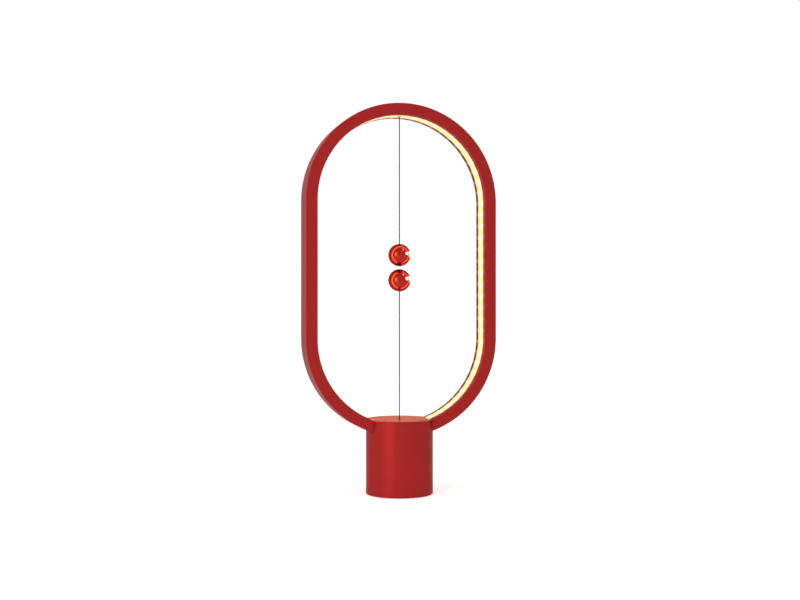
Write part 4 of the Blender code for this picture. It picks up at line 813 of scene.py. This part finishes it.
# %% What grows inside the can
PILLAR_RADIUS = 3.4 * MM
POST_RADIUS = 2.4 * MM
BOSS_RADIUS = 3.2 * MM
SWITCH_WALL = 2 * MM
POCKET_WIDTH, POCKET_HEIGHT, POCKET_CORNER = 15 * MM, 10 * MM, 2 * MM
POCKET_WALL = 2.2 * MM
WEB_THICKNESS, WEB_LENGTH, WEB_HEIGHT, WEB_FOOT = 2 * MM, 10 * MM, 14 * MM, 2 * MM
board_posts = [middle("board_screw_left"), middle("board_screw_right")]
cover_bosses = [middle(name) for name in ("cover_screw_back", "cover_screw_left", "cover_screw_right")]
switch_low, switch_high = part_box("switch_body")
port_low, port_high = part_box("usb_socket")
PORT_HEIGHT = (port_low.z + port_high.z) / 2
POCKET_FLOOR = port_high.y + GAP
grown = bmesh.new()
root = FLOOR_TOP - ROOT
post_top = FLOOR_TOP + POST_HEIGHT
pillar_top = hoop_height(abs(hoop_screws[0].x) + PILLAR_RADIUS)
uprights(grown, hoop_screws, root, pillar_top, PILLAR_RADIUS)
uprights(grown, board_posts, root, post_top, POST_RADIUS)
uprights(grown, cover_bosses, COVER_TOP + GAP, FLOOR_UNDER + ROOT, BOSS_RADIUS)
wall_x = switch_high.x + GAP
block(grown, (wall_x, switch_low.y, root), (wall_x + SWITCH_WALL, switch_high.y, switch_high.z))
pocket_half = POCKET_WIDTH / 2 + POCKET_WALL
pocket_top = PORT_HEIGHT + POCKET_HEIGHT / 2 + POCKET_WALL
pocket_back = BASE_INNER_RADIUS + ROOT / 2
block(grown, (-pocket_half, POCKET_FLOOR - POCKET_WALL, root), (pocket_half, pocket_back, pocket_top))
web_depth = HOOP_FRONT - HOOP_WALL / 2
web_end = math.sqrt(BASE_INNER_RADIUS**2 - web_depth**2) + ROOT / 2
web_start = web_end - WEB_LENGTH
web_top = hoop_height(web_end)
web_low = hoop_height(web_start) - WEB_FOOT
web = [(web_start, web_top), (web_end, web_top), (web_end, web_top - WEB_HEIGHT), (web_start, web_low)]
for side in (-1, 1):
    outline = [(side * x, z) for x, z in web]
    for depth in (-web_depth, web_depth):
        through(grown, outline, depth - WEB_THICKNESS / 2, depth + WEB_THICKNESS / 2)
combine(housing, grown, "UNION")
print("after growing:", len(housing.data.polygons), "faces")

# %% What is cut out of the can
HOOP_SCREW_DEPTH = 11.3 * MM
COVER_SCREW_DEPTH = 9 * MM
BLIND_END = 0.8 * MM
SMALL_HOLE_RADIUS = 1.2 * MM
SLOT_ROUND = 0.49
NOTCH_DEPTH = HOOP_FRONT + GAP
notch = bmesh.new()
outer = HOOP_RADIUS + GAP
outline = arc((0, HOOP_TOP_CENTRE), outer, 0, 180, 64) + arc((0, HOOP_LOW_CENTRE), outer, 180, 360, 128)
through(notch, outline, -NOTCH_DEPTH, NOTCH_DEPTH)
combine(housing, notch)
recess = bmesh.new()
outline = rounded(POCKET_WIDTH, POCKET_HEIGHT, POCKET_CORNER, PORT_HEIGHT)
through(recess, outline, POCKET_FLOOR, BASE_RADIUS + OVERRUN)
combine(housing, recess)
holes = bmesh.new()
slot_height = port_high.z - port_low.z + 2 * GAP
outline = rounded(port_high.x - port_low.x + 2 * GAP, slot_height, slot_height * SLOT_ROUND, PORT_HEIGHT)
through(holes, outline, POCKET_FLOOR - POCKET_WALL - ROOT, POCKET_FLOOR + ROOT)
hole_radius = SCREW_RADIUS + GAP
uprights(holes, hoop_screws, pillar_top - HOOP_SCREW_DEPTH, pillar_top + OVERRUN, hole_radius)
uprights(holes, board_posts, FLOOR_TOP + BLIND_END, post_top + OVERRUN, SMALL_HOLE_RADIUS)
uprights(holes, cover_bosses, COVER_TOP - OVERRUN, COVER_TOP + COVER_SCREW_DEPTH, hole_radius)
for name in ("switch_screw_front", "switch_screw_rear"):
    _, y, z = middle(name)
    rod(holes, (wall_x - GAP, y, z), (wall_x + SWITCH_WALL + GAP, y, z), SMALL_HOLE_RADIUS)
combine(housing, holes)
settle(housing, "lamp", "shell_red", "base_housing")

# %% [markdown]
# ## The cap and its eyelet
#
# A polished disc closes the base over the hoop's lowest stretch. Two clip legs hold it down. Seen from low
# down it works as a mirror, and the string's image shows in it. The lower string runs through a small ring in
# its middle, whose mouth is flared so that the thread doesn't chafe.

# %% Cap
CAP_EDGE = 0.3 * MM
CAP_RADIUS = cap_high.y
RING_FLANGE = 0.7 * MM
CLIP_SETBACK, CLIP_THICKNESS, CLIP_WIDTH, CLIP_HOOK = 0.8 * MM, 1.5 * MM, 8 * MM, 1.2 * MM
ring_low, ring_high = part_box("base_eyelet")
seat_radius = ring_high.x + GAP
seat = ring_high.z - RING_FLANGE - GAP
bore = EYELET_RADIUS + GAP
profile = [(bore, CAP_UNDER), (CAP_RADIUS, CAP_UNDER)]
profile += arc((CAP_RADIUS - CAP_EDGE, BASE_TOP - CAP_EDGE), CAP_EDGE, 0, 90, 4)
profile += [(seat_radius, BASE_TOP), (seat_radius, seat), (bore, seat)]
cap = turned("cap_disc", profile, cap_gloss_painted_warm, ring=True)
clips = bmesh.new()
outer = LEDGE_RADIUS - CLIP_SETBACK
inner = outer - CLIP_THICKNESS
clip_root = CAP_UNDER + ROOT
hook_top = LEDGE_UNDER - GAP
hook_low = hook_top - CLIP_HOOK
clip = [(inner, clip_root), (outer, clip_root), (outer, hook_top), (outer + CLIP_HOOK, hook_top)]
clip += [(outer, hook_low), (inner, hook_low)]
for side in (-1, 1):
    pulled(clips, [(-CLIP_WIDTH / 2, side * y, z) for y, z in clip], (CLIP_WIDTH, 0, 0))
combine(cap, clips, "UNION")
notches = bmesh.new()
near, far = CROSSING_X - 2 * GAP, BASE_RADIUS + OVERRUN
for low_x, high_x in ((-far, -near), (near, far)):
    block(notches, (low_x, -NOTCH_DEPTH, CAP_UNDER - OVERRUN), (high_x, NOTCH_DEPTH, BASE_TOP + OVERRUN))
combine(cap, notches)
# Faces that look up take the polished finish with its painted warm light; all other faces of the cap keep the
# can's satin red.
cap.data.materials.append(shell_satin)
for face in cap.data.polygons:
    face.material_index = 0 if face.normal.z > 0.5 else 1
settle(cap, "lamp", "shell_red", "base_top_cap")

# %% Eyelet in the cap
RING_BORE = 1.5 * MM
FLARE = 0.5 * MM
flange_low = ring_high.z - RING_FLANGE
profile = arc((RING_BORE + FLARE, ring_high.z - FLARE), FLARE, 90, 180, 6)
profile += [(RING_BORE, ring_low.z), (EYELET_RADIUS, ring_low.z)]
profile += [(EYELET_RADIUS, flange_low), (ring_high.x, flange_low)]
profile += arc((ring_high.x - CAP_EDGE, ring_high.z - CAP_EDGE), CAP_EDGE, 0, 90, 4)
ring = turned("cap_eyelet", profile, cap_gloss_painted_warm, 48, ring=True)
settle(ring, "lamp", "shell_red", "base_eyelet")

# %% [markdown]
# ## Under the base and behind it
#
# The foot pad sits in a recess of a screwed cover. The power inlet is a drawn steel shell with a tongue
# inside, and the tongue carries a row of gilt contacts on both faces. The contacts repeat, so a small tree
# lays them out from a count, a pitch and a size.

# %% Cover and pad
COVER_EDGE = 0.4 * MM
COVER_RIM = 1.8 * MM
HEAD_RADIUS = 3.0 * MM
HEAD_DEPTH = 1.6 * MM
cover_radius = BASE_INNER_RADIUS - GAP
pad_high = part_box("foot_pad")[1]
recess_radius = BASE_INNER_RADIUS - COVER_RIM
recess_top = pad_high.z + GAP
profile = [(0, recess_top), (recess_radius, recess_top), (recess_radius, FOOT_STAND)]
profile += arc((cover_radius - COVER_EDGE, FOOT_STAND + COVER_EDGE), COVER_EDGE, -90, 0, 5)
profile += arc((cover_radius - COVER_EDGE, COVER_TOP - COVER_EDGE), COVER_EDGE, 0, 90, 5)
cover = turned("screwed_cover", [*profile, (0, COVER_TOP)], cover_matt)
for radius, reach in ((HEAD_RADIUS, recess_top + HEAD_DEPTH), (hole_radius, COVER_TOP + OVERRUN)):
    sinks = bmesh.new()
    uprights(sinks, cover_bosses, FOOT_STAND, reach, radius)
    combine(cover, sinks)
settle(cover, "lamp", "cover_red", "bottom_cover")

PAD_EDGE = 0.3 * MM
pad_radius = pad_high.y
pad_foot = arc((pad_radius - PAD_EDGE, PAD_EDGE), PAD_EDGE, -90, 0, 5)
pad = turned("foam_foot", [(0, 0), *pad_foot, (pad_radius, pad_high.z), (0, pad_high.z)], pad_foam)
settle(pad, "lamp", "pad", "foot_pad")

# %% Power inlet
INLET_WALL = 0.35 * MM
inlet_width = port_high.x - port_low.x
inlet_height = port_high.z - port_low.z
corner = inlet_height / 2 - INLET_WALL
shape = bmesh.new()
through(shape, rounded(inlet_width, inlet_height, corner, PORT_HEIGHT), port_low.y, port_high.y)
inlet = piece_from("inlet_shell", shape, drawn_steel)
shape = bmesh.new()
width, height = inlet_width - 2 * INLET_WALL, inlet_height - 2 * INLET_WALL
outline = rounded(width, height, corner - INLET_WALL, PORT_HEIGHT)
through(shape, outline, port_low.y + 2 * INLET_WALL, port_high.y + OVERRUN)
combine(inlet, shape)
settle(inlet, "lamp", "socket_steel", "usb_socket")

# %% Row tree
row, row_in, row_out = new_tree(
    "row_of_plates",
    GEOMETRY,
    dict(Tongue="Geometry", Count="Int", Pitch="Float", Size="Vector", Middle="Vector", Material="Material"),
    dict(Tongue="Geometry"),
)
given = row_in.outputs
number = add(row, "GeometryNodeInputIndex").outputs[0]
last = step(row, "SUBTRACT", given["Count"], 1.0)
from_middle = step(row, "SUBTRACT", number, step(row, "MULTIPLY", last, 0.5))
sideways = add(row, "ShaderNodeCombineXYZ", X=step(row, "MULTIPLY", from_middle, given["Pitch"]))
place = add(row, "ShaderNodeVectorMath")
supply(place.inputs[0], sideways.outputs[0])
supply(place.inputs[1], given["Middle"])
plate = add(row, "GeometryNodeMeshCube", Size=given["Size"])
with_tongue = add(row, "GeometryNodeJoinGeometry")
join(
    add(row, "GeometryNodeMeshLine", Count=given["Count"]),
    add(row, "GeometryNodeSetPosition", Position=place.outputs[0]),
    add(row, "GeometryNodeInstanceOnPoints", Instance=plate.outputs[0]),
    add(row, "GeometryNodeRealizeInstances"),
    add(row, "GeometryNodeSetMaterial", Material=given["Material"]),
    with_tongue,
    row_out,
)
supply(with_tongue.inputs[0], given["Tongue"])
print("tree row_of_plates:", len(row.nodes), "nodes")

# %% Contact tongue
GILT = 0.05 * MM
CONTACTS = 12
CONTACT_PITCH = 0.5 * MM
CONTACT_WIDTH = 0.26 * MM
CONTACT_LENGTH = 3.6 * MM
CONTACT_INSET = 0.5 * MM
LEAD_IN = 0.15 * MM
tongue_low, tongue_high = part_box("usb_tongue")
body_low, body_high = tongue_low + Vector((0, 0, GILT)), tongue_high - Vector((0, 0, GILT))
eased = body_high.y - LEAD_IN
side_view = [
    (body_low.y, body_low.z), (eased, body_low.z), (body_high.y, body_low.z + LEAD_IN),
    (body_high.y, body_high.z - LEAD_IN), (eased, body_high.z), (body_low.y, body_high.z),
]
shape = bmesh.new()
pulled(shape, [(body_low.x, y, z) for y, z in side_view], (body_high.x - body_low.x, 0, 0))
tongue = piece_from("contact_tongue", shape, black_plastic)
for face in (tongue_low.z + GILT, tongue_high.z - GILT):
    grow(
        tongue, row, Count=CONTACTS, Pitch=CONTACT_PITCH, Size=(CONTACT_WIDTH, CONTACT_LENGTH, 2 * GILT),
        Middle=(0, tongue_high.y - CONTACT_INSET - CONTACT_LENGTH / 2, face), Material=gold,
    )
bake(tongue)
settle(tongue, "lamp", "black_plastic", "usb_tongue")

# %% [markdown]
# ## The balls
#
# Each ball is bored from the string's side for its magnet and closed by a plug that follows the round of the
# ball, so only a thin ring shows where the plug sits. The mirror gloss shows every flat facet, so these get
# the finest mesh of the part. The lower ball is the upper one turned over.

# %% Ball helpers
BALL_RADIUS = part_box("upper_ball")[1].x
BALL_BORE = 4.3 * MM
BALL_WALL = 2.2 * MM
PLUG_LENGTH = 5 * MM
PLUG_EDGE = 0.12 * MM
THREAD_RADIUS = 0.55 * MM
THREAD_BORE = THREAD_RADIUS + GAP


def ball(name, centre, side):
    """Turn a bored ball whose string side is up for side 1 and down for side -1."""
    start = math.degrees(math.acos(BALL_BORE / BALL_RADIUS))
    floor_height = BALL_WALL - BALL_RADIUS
    profile = [(0, floor_height), (BALL_BORE, floor_height), *arc((0, 0), BALL_RADIUS, start, -90, 96)]
    return turned(name, [(radius, centre + side * height) for radius, height in profile], ball_gloss, 160)


def ball_plug(name, centre, side):
    """Turn the plug that closes a ball, with its edges eased."""
    radius = BALL_BORE - GAP
    rim = math.degrees(math.acos(radius / BALL_RADIUS))
    crown = math.degrees(math.acos(THREAD_BORE / BALL_RADIUS))
    surface = arc((0, 0), BALL_RADIUS, rim, crown, 24)
    edge = surface[0][1]
    profile = [(THREAD_BORE, edge - PLUG_LENGTH), (radius, edge - PLUG_LENGTH), (radius, edge - PLUG_EDGE)]
    profile += [*surface[1:-1], (THREAD_BORE, surface[-1][1] - PLUG_EDGE)]
    return turned(name, [(r, centre + side * height) for r, height in profile], ball_gloss, 96, ring=True)


# %% Both balls
for where, side, body in (("upper", 1, "upper_hanging"), ("lower", -1, "lower_lifted")):
    centre = middle(f"{where}_ball").z
    for kind, maker, part in (("ball", ball, "ball"), ("plug", ball_plug, "ball_plug")):
        piece = maker(f"{where}_mirror_{kind}", centre, side)
        shiny.objects.link(piece)
        settle(piece, body, "ball_red", f"{where}_{part}")

# %% [markdown]
# ## The strings
#
# The string is three plies laid round each other. One tree makes it along any upright line: the line is read
# at even steps, copied once for each ply, wound about itself, and swept with a small circle. Three circles
# that just touch each other inside a round of radius R have a radius of 0.464 R. The plies are soft and press
# into each other, so they get a little more.

# %% Thread tree
STEPS_PER_TURN = 10.0
PLY_SIDES = 8
thread, thread_in, thread_out = new_tree(
    "laid_thread",
    GEOMETRY,
    dict(Line="Geometry", Radius="Float", Turn="Float", Plies="Int", Ply_Share="Float", Material="Material"),
    dict(Thread="Geometry"),
)
given = thread_in.outputs
pace = step(thread, "DIVIDE", given["Turn"], STEPS_PER_TURN)
plies = add(thread, "GeometryNodeDuplicateElements", {"domain": "SPLINE"}, Amount=given["Plies"])
run = add(thread, "GeometryNodeSplineParameter").outputs["Length"]
turns = step(thread, "DIVIDE", run, given["Turn"])
phase = step(thread, "DIVIDE", plies.outputs["Duplicate Index"], given["Plies"])
twist = step(thread, "MULTIPLY", step(thread, "ADD", turns, phase), math.tau)
ply_radius = step(thread, "MULTIPLY", given["Radius"], given["Ply Share"])
offset = step(thread, "SUBTRACT", given["Radius"], ply_radius)
outwards = add(
    thread, "ShaderNodeCombineXYZ", X=step(thread, "MULTIPLY", step(thread, "COSINE", twist), offset),
    Y=step(thread, "MULTIPLY", step(thread, "SINE", twist), offset),
)
circle = add(thread, "GeometryNodeCurvePrimitiveCircle", Resolution=PLY_SIDES, Radius=ply_radius)
join(
    thread_in,
    add(thread, "GeometryNodeMeshToCurve"),
    add(thread, "GeometryNodeResampleCurve", {"mode": "LENGTH"}, Length=pace),
    plies,
    add(thread, "GeometryNodeSetPosition", Offset=outwards.outputs[0]),
    add(thread, "GeometryNodeCurveToMesh", Profile_Curve=circle.outputs[0], Fill_Caps=True),
    add(thread, "GeometryNodeRealizeInstances"),
    add(thread, "GeometryNodeSetMaterial", Material=given["Material"]),
    thread_out,
)
print("tree laid_thread:", len(thread.nodes), "nodes")

# %% Thread helper
THREAD_TURN = 3.2 * MM
PLY_SHARE = 0.52


def laid_thread(name, node):
    """Lay a three-ply thread through a CAD string's own height."""
    low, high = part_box(node)
    line = bpy.data.meshes.new("line")
    line.from_pydata([(0, 0, low.z), (0, 0, high.z)], [(0, 1)], [])
    piece = show(name, line)
    grow(
        piece, thread, Radius=THREAD_RADIUS, Turn=THREAD_TURN, Plies=3, Ply_Share=PLY_SHARE,
        Material=thread_maroon,
    )
    bake(piece)
    return piece, low.z, high.z


# %% Strings
for name, node, body, exit_high, lay in (
    ("thread_upper", "upper_string", "upper_hanging", True, "hanging"),
    ("thread_lower", "lower_string", "lower_line", False, "taut"),
    ("thread_inside", "pull_string", "pull", True, "taut"),
):
    piece, low, high = laid_thread(name, node)
    settle(piece, body, "string", node)
    if node == "lower_string":
        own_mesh(piece)
    print(node, "is", round((high - low) / MM, 1), "mm long")

# %% [markdown]
# ## The eyelet at the top
#
# The upper string comes out of a small white ring in the strip. Its mouth is rounded, because the string
# bends over it at every swing.

# %% Eyelet in the strip
KNOT_RADIUS = 0.9 * MM
KNOT_DROP = 0.4 * MM
CLAMP_RADIUS = 1.3 * MM
FLANGE_PLACE = 2.4 * MM
FLANGE_THICKNESS = 0.8 * MM
ring_low, ring_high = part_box("hoop_eyelet")
seat_radius = KNOT_RADIUS + GAP
seat_start = math.degrees(math.asin(KNOT_DROP / seat_radius))
seat_end = math.degrees(math.acos(THREAD_BORE / seat_radius))
clamp_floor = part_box("upper_string_clamp")[0].z - GAP
flange_low = ring_high.z - FLANGE_PLACE
flange_top = flange_low + FLANGE_THICKNESS
profile = [(EYELET_RADIUS, ring_low.z)]
profile += arc((0, ring_low.z - KNOT_DROP), seat_radius, seat_start, seat_end, 10)
profile += [(THREAD_BORE, clamp_floor), (CLAMP_RADIUS + GAP, clamp_floor), (CLAMP_RADIUS + GAP, ring_high.z)]
profile += [(EYELET_RADIUS, ring_high.z), (EYELET_RADIUS, flange_top), (ring_high.x, flange_top)]
profile += [(ring_high.x, flange_low), (EYELET_RADIUS, flange_low)]
ring = turned("strip_eyelet", profile, white_plastic, 64, ring=True)
settle(ring, "lamp", "white_plastic", "hoop_eyelet")

# %% [markdown]
# ## Finishes for the pieces that keep their CAD shape
#
# Screws, springs, the board and the wires are right as they are and only need a finish. One table gives it.

# %% Finishes on CAD nodes
spring_steel = finish("spring_steel", (0.6, 0.59, 0.57), 0.28, 1.0, 0.15, 5, 0.1, 0.04)
nickel = finish("nickel_plate", (0.68, 0.66, 0.62), 0.16, 1.0, 0.1, 5, 0.06, 0.01)
FINISH_TABLE = (
    (
        finish("screw_steel", (0.55, 0.55, 0.56), 0.3, 1.0, 0.2, 2, 0.15, 0.05),
        "cover_screw_back cover_screw_left cover_screw_right board_screw_left board_screw_right "
        "switch_screw_front switch_screw_rear hoop_screw_left hoop_screw_right",
    ),
    (
        finish("plain_brass", (0.62, 0.44, 0.18), 0.3, 1.0, 0.15, 2, 0.12, 0.04),
        "switch_terminal_closed switch_terminal_open switch_terminal_common "
        "upper_string_clamp upper_ball_stop pull_string_clamp lower_ball_stop",
    ),
    (spring_steel, "switch_lever lever_pin hoop_clamp_bar"),
    (
        finish("black_insulation", (0.02, 0.02, 0.02), 0.42, 0.0, 0.3, 4, 0.12, 0.05),
        "lamp_wire_minus switch_wire_one switch_wire_two",
    ),
    (nickel, "upper_ball_magnet lower_ball_magnet"),
    (finish("red_insulation", (0.5, 0.03, 0.02), 0.42, 0.0, 0.3, 4, 0.08, 0.05), "lamp_wire_plus"),
    (finish("plunger_red", (0.5, 0.05, 0.03), 0.45, 0.0, 0.2, 2, 0.08, 0.05), "switch_plunger"),
    (finish("cast_iron", (0.18, 0.17, 0.17), 0.6, 0.9, 1.2, 10, 0.35, 0.7), "ballast_weight"),
    (finish("green_laminate", (0.02, 0.14, 0.06), 0.4, 0.0, 0.5, 3, 0.3, 0.08), "control_board"),
    (finish("fired_body", (0.45, 0.33, 0.2), 0.4, 0.0, 0.2, 1, 0.1, 0.05), "board_capacitor"),
    (black_plastic, "driver_chip choke_coil switch_body"),
    (white_plastic, "wire_socket_switch wire_socket_lamp"),
    (thread_maroon, "upper_string_end upper_string_knot lower_string_bend"),
    (tape_lit, "led_tape"),
)
for material, names in FINISH_TABLE:
    for name in names.split():
        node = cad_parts[name]
        node.data.materials.clear()
        node.data.materials.append(material)
print("finishes on CAD nodes:", sum(len(names.split()) for _, names in FINISH_TABLE))
